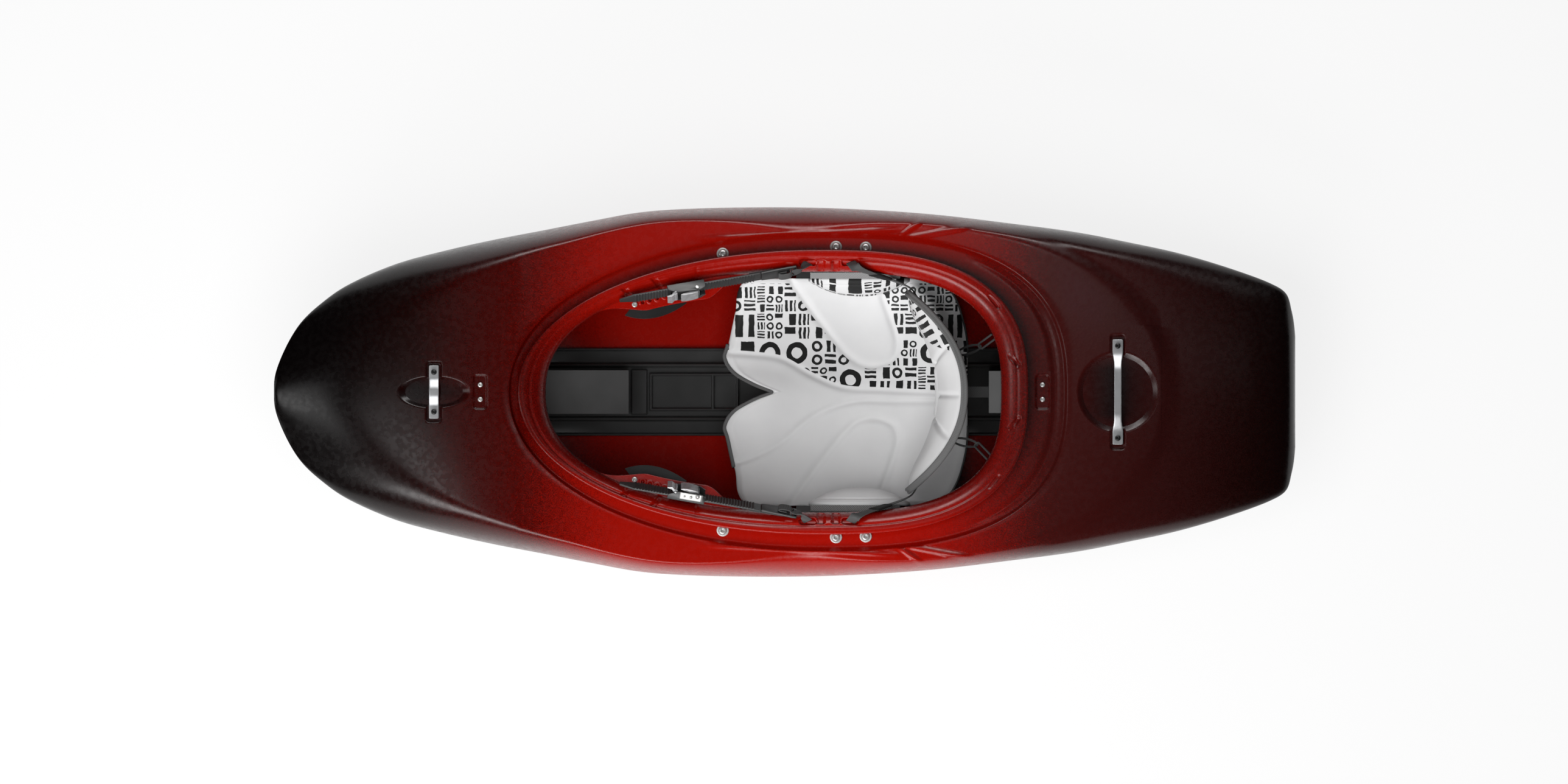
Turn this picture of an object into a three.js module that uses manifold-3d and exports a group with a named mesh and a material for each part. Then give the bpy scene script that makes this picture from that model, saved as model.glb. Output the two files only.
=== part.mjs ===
// A whitewater playboat with its outfitting, in millimetres.
// X runs from the bow to the stern, Y to starboard and Z up. The flat of the bottom lies on Z = 0.

import * as THREE from "three";
import { mergeVertices } from "three/addons/utils/BufferGeometryUtils.js";
import Module from "manifold-3d";

const wasm = await Module();
wasm.setup();

// Hull: overall sizes
const boatLength = 1750;
const beam = 633;
const hullWall = 6;
const clearance = 0.3;
const overrun = 4;
const halfLength = boatLength / 2;
const halfBeam = beam / 2;
const leastBeamShare = 0.05;

// Half of the hull's outline seen from above, as shares of its half length and half beam
const outlineShares = [
  [-1, 0], [-0.995, 0.12], [-0.95, 0.366], [-0.903, 0.49], [-0.855, 0.58], [-0.759, 0.695],
  [-0.664, 0.766], [-0.568, 0.825], [-0.473, 0.875], [-0.378, 0.926], [-0.282, 0.973],
  [-0.187, 0.992], [0, 1], [0.146, 0.989], [0.289, 0.962], [0.433, 0.916], [0.576, 0.863],
  [0.671, 0.812], [0.767, 0.755], [0.862, 0.679], [0.952, 0.588], [0.98, 0.54], [0.993, 0.44],
  [1, 0.3], [1, 0],
];

// Hull: rocker of the bottom, height of the widest line and of the deck
const flatFrontLength = 300;
const flatSternLength = 330;
const bowRocker = 212;
const bowRockerPower = 2;
const sternRocker = 150;
const sternRockerPower = 1.8;
const seamMid = 165;
const seamBow = 238;
const seamStern = 166;
const noseDrop = 45;
const tailDrop = 14;
const deckCrown = 26;
const shoulderShares = [[-1, 0.4], [-0.7, 0.46], [-0.45, 0.26], [-0.3, 0.15], [0, 0.14],
  [0.3, 0.17], [0.55, 0.32], [0.8, 0.34], [0.93, 0.24], [1, 0.09]];

// Bottom: how far each ring of the hull below the widest line is drawn in, and how high it lies
// between the keel and the widest line
const flareInset = 4;
const flareRiseShare = 0.65;
const chineInset = 30;
const chineRiseShare = 0.28;
const railInset = 52;
const railRiseShare = 0.08;
const flatInset = 70;

// Cockpit rim
const rimFront = -457;
const rimStern = 418;
const rimMiddle = 60;
const rimHalfWidth = 244;
const rimFrontPower = 2.05;
const rimSternPower = 2.7;
const mouthFront = -409;
const mouthStern = 371;
const mouthHalfWidth = 206;
const mouthFrontPower = 2.3;
const mouthSternPower = 2.8;
const rimFrontHeight = 330;
const rimDrop = 58;
const rimDropPower = 0.8;
const rimStand = 32;
const rimOverhang = 12;
const rimLip = 5;

// Saddle of the deck round the cockpit
const saddleFront = -473;
const saddleStern = 486;
const saddleHalfWidth = 273;
const saddleStep = 7;
const saddleStepWidth = 8;
const tailSaddleMiddle = 200;
const tailSaddleReach = 452;
const tailSaddleHalfWidth = 285;
const tailSaddlePower = 2.2;
const tailSaddleStep = 6;
const tailSaddleFrom = 0.98;
const tailSaddleTo = 1.05;

// Thigh hooks, moulded with the rim
const hookStart = -318;
const hookFull = -258;
const hookFade = -150;
const hookEnd = -70;
const hookReach = 35;
const hookDrop = 4;
const hookHoleX = -257;
const hookHoleY = 150;
const hookHolePitchX = 12.9;
const hookHolePitchY = 3.75;
const hookHoleCount = 5;
const hookHoleRadius = 2.5;

// Slots and pockets in the side of the rim
const rimSlotInset = 22;
const rimSlotLength = 28;
const rimSlotWidth = 10;
const frontSlotX = 40;
const rearSlotX = 113;
const pocketX = 75;
const pocketSpacing = 26;
const pocketLength = 13;
const pocketWidth = 16;
const pocketDepth = 3;
const pocketInset = 27;

// Grab handles and the recesses that they stand in
const bowHandle = { name: "bow", x: -601, length: 91, width: 16.5, waistWidth: 16.5, riseHeight: 9,
  boltInset: 11.5, bowlLength: 60, bowlDepth: 20, bowlToBolt: 7, slotSideGap: 4.5, slotEndGap: 6 };
const sternHandle = { name: "stern", x: 571, length: 180, width: 18, waistWidth: 12.5, riseHeight: 14,
  boltInset: 11, bowlLength: 67, bowlDepth: 30, bowlToBolt: 12, slotSideGap: 3, slotEndGap: 8 };
const handleThickness = 5;
const handleFootLength = 22;
const slotDepth = 4;
const boltHeadRadius = 5.2;
const boltHeadHeight = 5;
const boltShaftRadius = 3;
const boltShaftLength = 22;
const boltSocketRadius = 2.6;
const boltSocketDepth = 2.5;
const boltChamferHeightShare = 0.8;
const boltTopShare = 0.85;

// Screws through the deck into the foam pillars
const pillarScrewHeadRadius = 4.5;
const pillarScrewHeadHeight = 3;
const pillarScrewShaftRadius = 2.2;
const pillarScrewShaftLength = 26;
const bowPillarScrewX = -521.5;
const sternPillarScrewX = 442;
const pillarScrewY = 12.5;
const padLengthX = 22.5;
const padLengthY = 58;
const padDepth = 3;

// Outline of a domed screw head, as shares of its radius and height
const domeShares = [[0.95, 0.45], [0.6, 1]];

// Side screws and washers
const frontSideScrewX = -106;
const wingSideScrewX = 88;
const wingSideScrewPitch = 51;
const sideScrewFromLip = 5;
const washerRadius = 11;
const washerThickness = 1.6;
const washerBevelShare = 0.9;
const sideScrewHeadRadius = 6.5;
const sideScrewHeadHeight = 4;
const sideScrewShaftRadius = 3;
const sideScrewShaftLength = 24;

// Seat rail on the floor
const railFront = -600;
const railBack = 600;
const railHalfWidth = 75;
const railPlate = 4;
const railEdgeHeight = 12;
const railEdgeWidth = 4;
const railRibY = 46;
const railRibHalfWidth = 4;
const railRibHeight = 16;
const railSteps = 16;
const railStep = (railBack - railFront) / railSteps;
const railGap = 0.9;
const rockerAllowance = 1;
const saddleBarX = -249;
const saddleBarLength = 26;
const saddleBarHalfWidth = 38;
const trayFront = -231;
const trayBack = -79;
const trayHalfWidth = 32;
const trayWall = 4;
const trayHeight = 10;
const trayRibX = -123;

// Foam pillars
const pillarGap = 1;
const bowPillarFront = -660;
const bowPillarHalfWidth = 37.5;
const bowPillarMouth = -412;
const bowPillarTongueEnd = -267;
const bowPillarTongueTop = 150;
const bowPillarTongueTip = 96;
const sternPillarFront = 350;
const sternPillarBack = 690;
const sternPillarHalfWidth = 36;

// Seat
const seatHalfWidth = 195;
const seatDip = 52;
const seatFrontRise = 38;
const seatFrontFrom = 120;
const seatFrontTo = -80;
const seatSideRise = 60;
const seatSidePower = 3.5;
const seatPommel = 18;
const seatPommelWidth = 40;
const seatPommelEnd = 200;
const seatRearRise = 12;
const seatRearFrom = 230;
const seatBack = 313;
const seatFoam = 14;
const seatEdgeRound = 12;
const seatEdgeShare = 0.45;
const seatPanThickness = 4;
const seatPanInset = 6;
const seatPanGap = 4;
const channelDepth = 5;
const channelHalfWidth = 13;

// Front and back edges of the seat, as shares of its half width and of its back place
const seatFrontShares = [[0, -0.058], [0.07, -0.17], [0.17, -0.275], [0.3, -0.325], [0.4, -0.31],
  [0.7, -0.27], [0.95, -0.235], [1, -0.13]];
const seatBackShares = [[0, 1], [0.38, 1], [0.6, 0.98], [0.86, 0.92], [0.95, 0.84], [1, 0.7]];

// Sewn-in channels of the seat, as shares of its back place and its half width
const channelShares = [
  [[0.79, -0.01], [0.31, 0.04], [-0.02, 0.29], [-0.29, 0.34]],
  [[0.79, -0.08], [0.39, -0.08], [0.17, -0.2], [-0.02, -0.44], [-0.25, -0.63]],
  [[0.07, 0.92], [0.36, 0.31], [0.5, 0.23], [0.59, 0.29], [0.61, 0.49], [0.54, 0.84]],
  [[0.07, -0.92], [0.36, -0.31], [0.5, -0.23], [0.59, -0.29], [0.61, -0.49], [0.54, -0.84]],
];

// Wings of the seat pan, which rise to the side screws
const wingFront = 20;
const wingBack = 200;
const wingThickness = 4;
const wingInsideMouth = 11;
const wingBend = 212;
const wingFlangeInner = 236;
const wingFlangeOuter = 261;

// Hip pads
const hipPadFront = 41;
const hipPadBack = 215;
const hipPadLow = 108;
const hipPadHigh = 214;
const hipPadThickness = 31;
const hipPadEdge = 5;
const hipPadPowerX = 0.8;
const hipPadPowerZ = 0.7;
const hipPadCrownPower = 2.2;
const hipPadRingShares = [0.96, 0.84, 0.66, 0.4, 0];
const hipPadBackShare = 0.97;

// Backband
const bandMiddleX = 312;
const bandSweep = 98;
const bandSweepPower = 2.2;
const bandHalfWidth = 172;
const bandSideRise = 55;
const bandHigh = 250;
const bandSideDrop = 28;
const bandLean = 34;
const bandShell = 3;
const bandPadTop = 13;
const bandPadSwell = 20;
const bandPadSideLoss = 0.55;
const bandPadSwellReach = 1.15;
const bandPadWidthShare = 0.97;
const bandPadMargin = 0.04;
const bandPadEdgeShare = 0.35;
const bandPadEndRounding = 12;
const bandPadTopRounding = 7;

// Ladder strap: its tip, the run of its rear end and how far it leans inboard
const strapTipX = -283;
const strapTipY = 158;
const strapTipZ = 309;
const strapRunX = 242;
const strapRunY = 42;
const strapRunZ = -20;
const strapLeanDegrees = 60;
const strapWidth = 22;
const strapThickness = 3;
const strapTaper = 26;
const toothHeight = 2;
const toothPitch = 5;
const toothShare = 0.6;
const strapEndMargin = 8;

// Frame at the strap's rear end that holds the webbing
const strapFrameLength = 62;
const strapFrameWidth = 28;
const strapFrameThickness = 4.5;
const strapFrameWindow = 12;
const strapFrameBar = 6;

// Ratchet buckle, measured along the strap from its tip
const buckleFront = 84;
const buckleBack = 148;
const buckleEar = 3;
const buckleEarHeight = 13;
const bucklePlate = 3;
const buckleFoot = 14.7;
const buckleFootMargin = 8;
const leverPivot = 134;
const leverPivotHeight = 10.5;
const leverHub = 4.2;
const leverLength = 30;
const leverHeight = 9;
const leverThickness = 4;
const leverHeel = 10;
const pawlLength = 9;
const releasePivot = 96;
const releaseHub = 4.2;
const releaseLength = 15;
const releaseHeight = 8;
const pinRadius = 1.8;
const pinClearance = 0.15;
const pinHead = 1.2;

// Thigh brace pads and their screws
const bracePlate = 4;
const braceFoam = 15;
const braceFront = -274;
const braceBack = -168;
const braceOuter = 172;
const braceBulge = 18;
const braceCorner = 131;
const braceEndY = 152;
const braceScrewHeadRadius = 5;
const braceScrewHeadHeight = 3;
const braceScrewShaftRadius = 2.2;

// Webbings, shock cords and hooks
const webbingWidth = 18;
const webbingThickness = 1.8;
const webbingEndDepth = 3;
const slotDropShare = 0.16;
const rearWebbingAcross = 0.93;
const rearWebbingUp = 0.8;
const rearKneeGap = 4;
const frontSlotOffset = 0.4;
const rearSlotOffset = -1.3;
const webbingOverFrame = 2.4;
const cordRadius = 2;
const cordSides = 8;
const hookThickness = 4;
const hookWidth = 17;
const hookRingBar = 4;
const hookDropFromTop = 51;
const cordPlaces = [
  { side: "right", y: 65, mid: [338, 79], endY: 95 },
  { side: "left", y: -82, mid: [332, -91], endY: -112 },
];

// Fineness of the facets
const outlineSteps = 54;
const webbingSteps = 16;
const curveSteps = 2000;
const ovalSteps = 400;
const bowlSteps = 14;
const roundSteps = 10;
const smallSteps = 9;
const holeSteps = 8;
const hipPadSides = 24;

const palette = {
  hull: { color: 0x8b0a00, roughness: 0.22, metalness: 0 },
  aluminium: { color: 0xc8c8c8, roughness: 0.3, metalness: 1 },
  steel: { color: 0xb8b8b8, roughness: 0.25, metalness: 1 },
  blackSteel: { color: 0x3a3a3a, roughness: 0.4, metalness: 1 },
  rail: { color: 0x151515, roughness: 0.5, metalness: 0 },
  darkFoam: { color: 0x3a3a3a, roughness: 0.9, metalness: 0 },
  paleFoam: { color: 0xdcdcdc, roughness: 0.8, metalness: 0 },
  pan: { color: 0x202020, roughness: 0.6, metalness: 0 },
  strap: { color: 0x303030, roughness: 0.55, metalness: 0 },
  clear: { color: 0xd8d8d8, roughness: 0.12, metalness: 0 },
  webbing: { color: 0x444444, roughness: 0.9, metalness: 0 },
  cord: { color: 0x1c1c1c, roughness: 0.8, metalness: 0 },
};

const boat = new THREE.Group();

// Helpers for solids

function closedGeometry(positions, index) {
  const raw = new THREE.BufferGeometry();
  raw.setAttribute("position", new THREE.Float32BufferAttribute(positions, 3));
  raw.setIndex(index);
  const merged = mergeVertices(raw, 1e-4);
  const kept = [];
  const corner = merged.index.array;
  for (let t = 0; t < corner.length; t += 3) {
    const [a, b, c] = [corner[t], corner[t + 1], corner[t + 2]];
    if (a !== b && b !== c && c !== a) kept.push(a, b, c);
  }
  if (signedVolume(merged.attributes.position, kept) < 0) kept.reverse();
  merged.setIndex(kept);
  merged.computeVertexNormals();
  return merged;
}

function signedVolume(position, index) {
  const [a, b, c] = [new THREE.Vector3(), new THREE.Vector3(), new THREE.Vector3()];
  let total = 0;
  for (let t = 0; t < index.length; t += 3) {
    a.fromBufferAttribute(position, index[t]);
    b.fromBufferAttribute(position, index[t + 1]);
    c.fromBufferAttribute(position, index[t + 2]);
    total += a.dot(b.cross(c));
  }
  return total;
}

function toSolid(geometry) {
  const bare = geometry.clone();
  bare.deleteAttribute("normal");
  bare.deleteAttribute("uv");
  const index = bare.index ? Array.from(bare.index.array)
    : Array.from({ length: bare.attributes.position.count }, (_, i) => i);
  const merged = closedGeometry(Array.from(bare.attributes.position.array), index);
  return new wasm.Manifold(new wasm.Mesh({
    numProp: 3,
    vertProperties: new Float32Array(merged.attributes.position.array),
    triVerts: new Uint32Array(merged.index.array),
  }));
}

function toGeometry(solid) {
  const mesh = solid.getMesh();
  return closedGeometry(Array.from(mesh.vertProperties), Array.from(mesh.triVerts));
}

function addPiece(name, geometry, material) {
  const finish = new THREE.MeshStandardMaterial(palette[material]);
  const mesh = new THREE.Mesh(geometry, finish);
  mesh.name = name;
  boat.add(mesh);
  return mesh;
}

// A closed skin through rings of equal length; the ends close on themselves or get a flat cap. The
// crossed column has its diagonals the other way, which keeps a twisted band evenly thick.
function ringSolid(rings, capped = false, crossed = -1) {
  const count = rings[0].length;
  const positions = rings.flat().flatMap((point) => [point.x, point.y, point.z]);
  const index = [];
  for (let j = 0; j < rings.length - 1; j++) {
    for (let i = 0; i < count; i++) {
      const k = (i + 1) % count;
      const [a, b, c, d] = [j * count + i, j * count + k, (j + 1) * count + k, (j + 1) * count + i];
      index.push(...(i === crossed ? [a, b, d, b, c, d] : [a, b, c, a, c, d]));
    }
  }
  if (capped) {
    index.push(...capIndex(rings[0], 0, true));
    index.push(...capIndex(rings[rings.length - 1], (rings.length - 1) * count, false));
  }
  return closedGeometry(positions, index);
}

// Triangles of a flat ring, found in the plane that it lies in
function capIndex(ring, offset, flipped) {
  const normal = new THREE.Vector3();
  for (let i = 0; i < ring.length; i++) {
    normal.add(ring[i].clone().cross(ring[(i + 1) % ring.length]));
  }
  normal.normalize();
  const across = Math.abs(normal.z) < 0.9 ? new THREE.Vector3(0, 0, 1) : new THREE.Vector3(1, 0, 0);
  const u = across.cross(normal).normalize();
  const v = normal.clone().cross(u);
  const flat = ring.map((point) => new THREE.Vector2(point.dot(u), point.dot(v)));
  return THREE.ShapeUtils.triangulateShape(flat, []).flatMap(([a, b, c]) =>
    flipped ? [offset + c, offset + b, offset + a] : [offset + a, offset + b, offset + c]);
}

// A sheet between an upper and a lower surface, both given over a grid of u and v from 0 to 1
function sheetSolid(upper, lower, uSteps, vSteps) {
  const rings = [];
  for (let j = 0; j <= vSteps; j++) {
    const top = [];
    const bottom = [];
    for (let i = 0; i <= uSteps; i++) {
      top.push(upper(i / uSteps, j / vSteps));
      bottom.push(lower(i / uSteps, j / vSteps));
    }
    rings.push([...top, ...bottom.reverse()]);
  }
  return stripCapped(rings, uSteps + 1);
}

function stripCapped(rings, half) {
  const count = rings[0].length;
  const positions = rings.flat().flatMap((point) => [point.x, point.y, point.z]);
  const index = [];
  for (let j = 0; j < rings.length - 1; j++) {
    for (let i = 0; i < count; i++) {
      const k = (i + 1) % count;
      const [a, b, c, d] = [j * count + i, j * count + k, (j + 1) * count + k, (j + 1) * count + i];
      index.push(a, b, c, a, c, d);
    }
  }
  const last = (rings.length - 1) * count;
  for (let i = 0; i < half - 1; i++) {
    const [a, b] = [i, i + 1];
    const [c, d] = [count - 2 - i, count - 1 - i];
    index.push(a, c, b, a, d, c);
    index.push(last + a, last + b, last + c, last + a, last + c, last + d);
  }
  return closedGeometry(positions, index);
}

function boxSolid(low, high) {
  const shape = new THREE.BoxGeometry(high[0] - low[0], high[1] - low[1], high[2] - low[2]);
  shape.translate((low[0] + high[0]) / 2, (low[1] + high[1]) / 2, (low[2] + high[2]) / 2);
  return toSolid(shape);
}

// An upright round bar, its axis at x and y
function barSolid(x, y, low, high, radius, steps = smallSteps) {
  const shape = new THREE.CylinderGeometry(radius, radius, high - low, steps);
  shape.rotateX(Math.PI / 2);
  shape.translate(x, y, (low + high) / 2);
  return toSolid(shape);
}

// A profile of radius and height turned about the upright axis
function turned(profile, steps = roundSteps) {
  const shape = new THREE.LatheGeometry(profile.map(([r, z]) => new THREE.Vector2(r, z)), steps);
  shape.rotateX(Math.PI / 2);
  return toGeometry(toSolid(shape));
}

// Smooth value of a table of shares at a place
function along(table, at) {
  const last = table.length - 1;
  if (at <= table[0][0]) return table[0][1];
  if (at >= table[last][0]) return table[last][1];
  let i = 0;
  while (at > table[i + 1][0]) i++;
  const [x0, y0] = table[i];
  const [x1, y1] = table[i + 1];
  const t = (at - x0) / (x1 - x0);
  const before = table[Math.max(0, i - 1)];
  const after = table[Math.min(last, i + 2)];
  const m0 = (y1 - before[1]) / (x1 - before[0]) * (x1 - x0);
  const m1 = (after[1] - y0) / (after[0] - x0) * (x1 - x0);
  const t2 = t * t;
  const t3 = t2 * t;
  return (2 * t3 - 3 * t2 + 1) * y0 + (t3 - 2 * t2 + t) * m0 + (3 * t2 - 2 * t3) * y1 + (t3 - t2) * m1;
}

function smooth(low, high, value) {
  const t = THREE.MathUtils.clamp((value - low) / (high - low), 0, 1);
  return t * t * (3 - 2 * t);
}

function signedPower(value, power) {
  return Math.sign(value) * Math.pow(Math.abs(value), power);
}

// Points at even steps along an open line
function evenPoints(points, steps) {
  const lengths = [0];
  for (let i = 1; i < points.length; i++) {
    lengths.push(lengths[i - 1] + points[i].distanceTo(points[i - 1]));
  }
  const total = lengths[lengths.length - 1];
  const even = [];
  let k = 0;
  for (let i = 0; i <= steps; i++) {
    const at = total * i / steps;
    while (k < points.length - 2 && lengths[k + 1] < at) k++;
    const share = (at - lengths[k]) / (lengths[k + 1] - lengths[k]);
    even.push(points[k].clone().lerp(points[k + 1], share));
  }
  return even;
}

// A half line from bow to stern becomes a closed ring, starboard first
function mirroredRing(half) {
  const back = half.slice(1, -1).reverse().map((point) => new THREE.Vector2(point.x, -point.y));
  return [...half, ...back];
}

// Hull surfaces

function keelHeight(x) {
  const ahead = (-flatFrontLength - x) / (halfLength - flatFrontLength);
  const behind = (x - flatSternLength) / (halfLength - flatSternLength);
  if (ahead > 0) return bowRocker * Math.pow(ahead, bowRockerPower);
  if (behind > 0) return sternRocker * Math.pow(behind, sternRockerPower);
  return 0;
}

function seamHeight(x) {
  const end = x < 0 ? seamBow : seamStern;
  return seamMid + (end - seamMid) * (x / halfLength) ** 2;
}

function rimHeight(x) {
  const travel = Math.max(0, (x - rimFront) / (rimStern - rimFront));
  return rimFrontHeight - rimDrop * Math.pow(travel, rimDropPower);
}

// Height of the channel that the rim rises from
function channelHeight(x) {
  return rimHeight(x) - rimStand;
}

function halfBeamAt(x) {
  return halfBeam * Math.max(leastBeamShare, along(outlineShares.slice(0, -1), x / halfLength));
}

// Height of the deck where it isn't rounded down to the hull's edge
function deckCrest(x, y) {
  let height = channelHeight(x) + saddleStep;
  if (x < saddleFront) height -= noseDrop * ((saddleFront - x) / (halfLength + saddleFront)) ** 2;
  if (x > saddleStern) height -= tailDrop * ((x - saddleStern) / (halfLength - saddleStern)) ** 2;
  const away = x < 0 ? smooth(saddleFront, -halfLength, x) : smooth(rimStern, halfLength, x);
  height -= deckCrown * away * Math.min(1, Math.abs(y) / halfBeamAt(x)) ** 2;
  return height + tailSaddle(x, y);
}

// The raised saddle behind the cockpit
function tailSaddle(x, y) {
  const across = Math.pow(Math.abs(y) / tailSaddleHalfWidth, tailSaddlePower);
  const lengthwise = Math.pow(Math.max(0, x - tailSaddleMiddle) / tailSaddleReach, tailSaddlePower);
  const radius = Math.pow(across + lengthwise, 1 / tailSaddlePower);
  return -tailSaddleStep * smooth(tailSaddleFrom, tailSaddleTo, radius) * smooth(rimMiddle, saddleStern, x);
}

function shoulderWidth(x) {
  return halfBeam * along(shoulderShares, x / halfLength);
}

function roundUp(share) {
  return Math.sqrt(1 - (1 - Math.min(1, share)) ** 2);
}

function outlineRing(steps) {
  const points = outlineShares.map(([x, y]) => new THREE.Vector3(x * halfLength, y * halfBeam, 0));
  const bow = points.slice(1, 3).reverse().map((p) => new THREE.Vector3(p.x, -p.y, 0));
  const stern = points.slice(-3, -1).reverse().map((p) => new THREE.Vector3(p.x, -p.y, 0));
  const curve = new THREE.CatmullRomCurve3([...bow, ...points, ...stern], false, "centripetal");
  const dense = curve.getPoints(curveSteps).filter((p) => p.y > 0).map((p) => new THREE.Vector2(p.x, p.y));
  dense.forEach((point) => point.set(Math.min(point.x, halfLength), point.y));
  const half = [new THREE.Vector2(-halfLength, 0), ...dense, new THREE.Vector2(halfLength, 0)];
  return mirroredRing(evenPoints(half, steps / 2));
}

function ovalRing(front, stern, halfWidth, frontPower, sternPower, steps) {
  const half = [];
  for (let i = 0; i <= ovalSteps; i++) {
    const angle = Math.PI * i / ovalSteps;
    const power = i < ovalSteps / 2 ? frontPower : sternPower;
    const reach = i < ovalSteps / 2 ? rimMiddle - front : stern - rimMiddle;
    half.push(new THREE.Vector2(rimMiddle - reach * signedPower(Math.cos(angle), 2 / power),
      i === 0 || i === ovalSteps ? 0 : halfWidth * Math.pow(Math.sin(angle), 2 / power)));
  }
  return mirroredRing(evenPoints(half, steps / 2));
}

function hookInset(x) {
  return hookReach * smooth(hookStart, hookFull, x) * (1 - smooth(hookFade, hookEnd, x));
}

function lift(ring, height) {
  return ring.map((point, i) => new THREE.Vector3(point.x, point.y, height(point.x, point.y, i)));
}

function drawnIn(ring, inset) {
  const [sx, sy] = [1 - inset / halfLength, 1 - inset / halfBeam];
  return ring.map((point) => new THREE.Vector2(point.x * sx, point.y * sy));
}

// Rings of the bottom from the centre line out to the widest line, one wall inside if inner
function bottomRings(outline, wall) {
  const between = (share) => (x) => keelHeight(x) + wall + share * (seamHeight(x) - keelHeight(x) - wall);
  const middle = drawnIn(outline, flatInset + wall).map((point) => new THREE.Vector2(point.x, 0));
  const half = drawnIn(outline, flatInset + wall).map((p) => new THREE.Vector2(p.x, p.y / 2));
  return [
    lift(middle, between(0)),
    lift(half, between(0)),
    lift(drawnIn(outline, flatInset + wall), between(0)),
    lift(drawnIn(outline, railInset + wall), between(railRiseShare)),
    lift(drawnIn(outline, chineInset + wall), between(chineRiseShare)),
    lift(drawnIn(outline, flareInset + wall), between(flareRiseShare)),
    lift(drawnIn(outline, wall), seamHeight),
  ];
}

const deckRowShares = [0.03, 0.09, 0.18, 0.3, 0.45, 0.65, 0.82, 1];
const innerRowShares = [0.09, 0.25, 0.6, 1];

// Rings of the deck from the hull's edge up to the saddle line
function deckRings(outline, saddle, wall) {
  const edge = drawnIn(outline, wall);
  const rows = wall > 0 ? innerRowShares : deckRowShares;
  return rows.map((share) => edge.map((point, i) => {
    const flat = point.clone().lerp(saddle[i], share);
    const outer = outline[i].clone().lerp(saddle[i], share);
    const rise = roundUp(outer.distanceTo(outline[i]) / shoulderWidth(outer.x));
    const [seam, crest] = [seamHeight(outer.x), deckCrest(outer.x, outer.y)];
    const height = seam + (crest - seam) * rise - wall * roundUp(3 * share);
    return new THREE.Vector3(flat.x, flat.y, height);
  }));
}

// A point of the rim's section, given from its outer lip inwards
function rimRing(lip, mouth, insetOf, heightOf) {
  return lip.map((point, i) => {
    const band = mouth[i].clone().sub(point);
    const width = band.length();
    const flat = point.clone().add(band.multiplyScalar(insetOf(width, point.x, i) / width));
    return new THREE.Vector3(flat.x, flat.y, rimHeight(flat.x) + heightOf(flat.x, i));
  });
}

// Section of the rim over its wall, then its underside: share of the band's width, and height
const bandShares = [[0.45, -0.09], [0.7, -0.28], [0.9, -0.6]];

function rimRings(lip, mouth) {
  const ring = (inset, height) => rimRing(lip, mouth, inset, height);
  const hook = (x) => hookInset(x);
  const reach = (width, x, i) => width + hook(mouth[i].x);
  const hookSag = (x, i) => hookDrop * hook(mouth[i].x) / hookReach;
  const top = [
    ring(() => rimOverhang, () => -rimLip - clearance),
    ring(() => rimLip / 3, () => -rimLip),
    ring(() => 0, () => -rimLip / 2),
    ring(() => rimLip / 2, () => 0),
    ring(() => rimOverhang, () => 0),
    ...bandShares.map(([share, drop]) => ring((width) => share * width, () => drop * rimStand)),
    ring((width) => width, () => -rimStand),
    ring(reach, (x, i) => -rimStand - hookSag(x, i)),
    ring(reach, (x, i) => -rimStand - rimLip - hookSag(x, i)),
  ];
  const under = [
    ring((width) => width - rimLip / 2, () => -rimStand - rimLip),
    ...bandShares.slice().reverse().map(([share, drop]) =>
      ring((width) => share * width - rimLip / 2, () => drop * rimStand - rimLip)),
    ring(() => rimOverhang + rimLip, () => -rimLip - 1.5 * clearance - rimLip / 2),
  ];
  return [...top, ...under];
}

function channelRing(ring, drop) {
  return ring.map((point) => new THREE.Vector3(point.x, point.y, channelHeight(point.x) - drop));
}

function insetRing(lip, mouth, inset) {
  return lip.map((point, i) => {
    const band = mouth[i].clone().sub(point);
    return point.clone().add(band.multiplyScalar(inset / band.length()));
  });
}

const outline = outlineRing(outlineSteps);
const lip = ovalRing(rimFront, rimStern, rimHalfWidth, rimFrontPower, rimSternPower, outlineSteps);
const mouth = ovalRing(mouthFront, mouthStern, mouthHalfWidth, mouthFrontPower, mouthSternPower,
  outlineSteps);
const saddle = ovalRing(saddleFront, saddleStern, saddleHalfWidth, rimFrontPower, rimSternPower,
  outlineSteps);
const saddleFoot = ovalRing(saddleFront + saddleStepWidth / 2, saddleStern - saddleStepWidth,
  saddleHalfWidth - saddleStepWidth, rimFrontPower, rimSternPower, outlineSteps);

function shellSolid() {
  const rimFoot = insetRing(lip, mouth, rimOverhang);
  const rimFootInner = insetRing(lip, mouth, rimOverhang + rimLip);
  return toSolid(ringSolid([
    ...bottomRings(outline, 0),
    ...deckRings(outline, saddle, 0),
    channelRing(saddleFoot, 0),
    channelRing(rimFoot, 0),
    ...rimRings(lip, mouth),
    channelRing(rimFootInner, hullWall),
    channelRing(saddleFoot, hullWall),
    ...deckRings(outline, saddle, hullWall).reverse(),
    ...bottomRings(outline, hullWall).reverse(),
  ]));
}

// The hull's outer form with its cockpit filled, which trims what is moulded under the deck
function envelopeSolid() {
  const rimFoot = insetRing(lip, mouth, rimOverhang);
  const middle = rimFoot.map((point) => new THREE.Vector2(point.x, 0));
  return toSolid(ringSolid([
    ...bottomRings(outline, 0),
    ...deckRings(outline, saddle, 0),
    channelRing(saddleFoot, 0),
    channelRing(rimFoot, 0),
    channelRing(middle, 0),
  ]));
}

function bowlSolid(x, height, reachX, reachY, depth) {
  const bowl = new THREE.SphereGeometry(1, bowlSteps, bowlSteps / 2);
  bowl.scale(reachX, reachY, depth);
  bowl.translate(x, 0, height);
  return toSolid(bowl);
}

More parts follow.
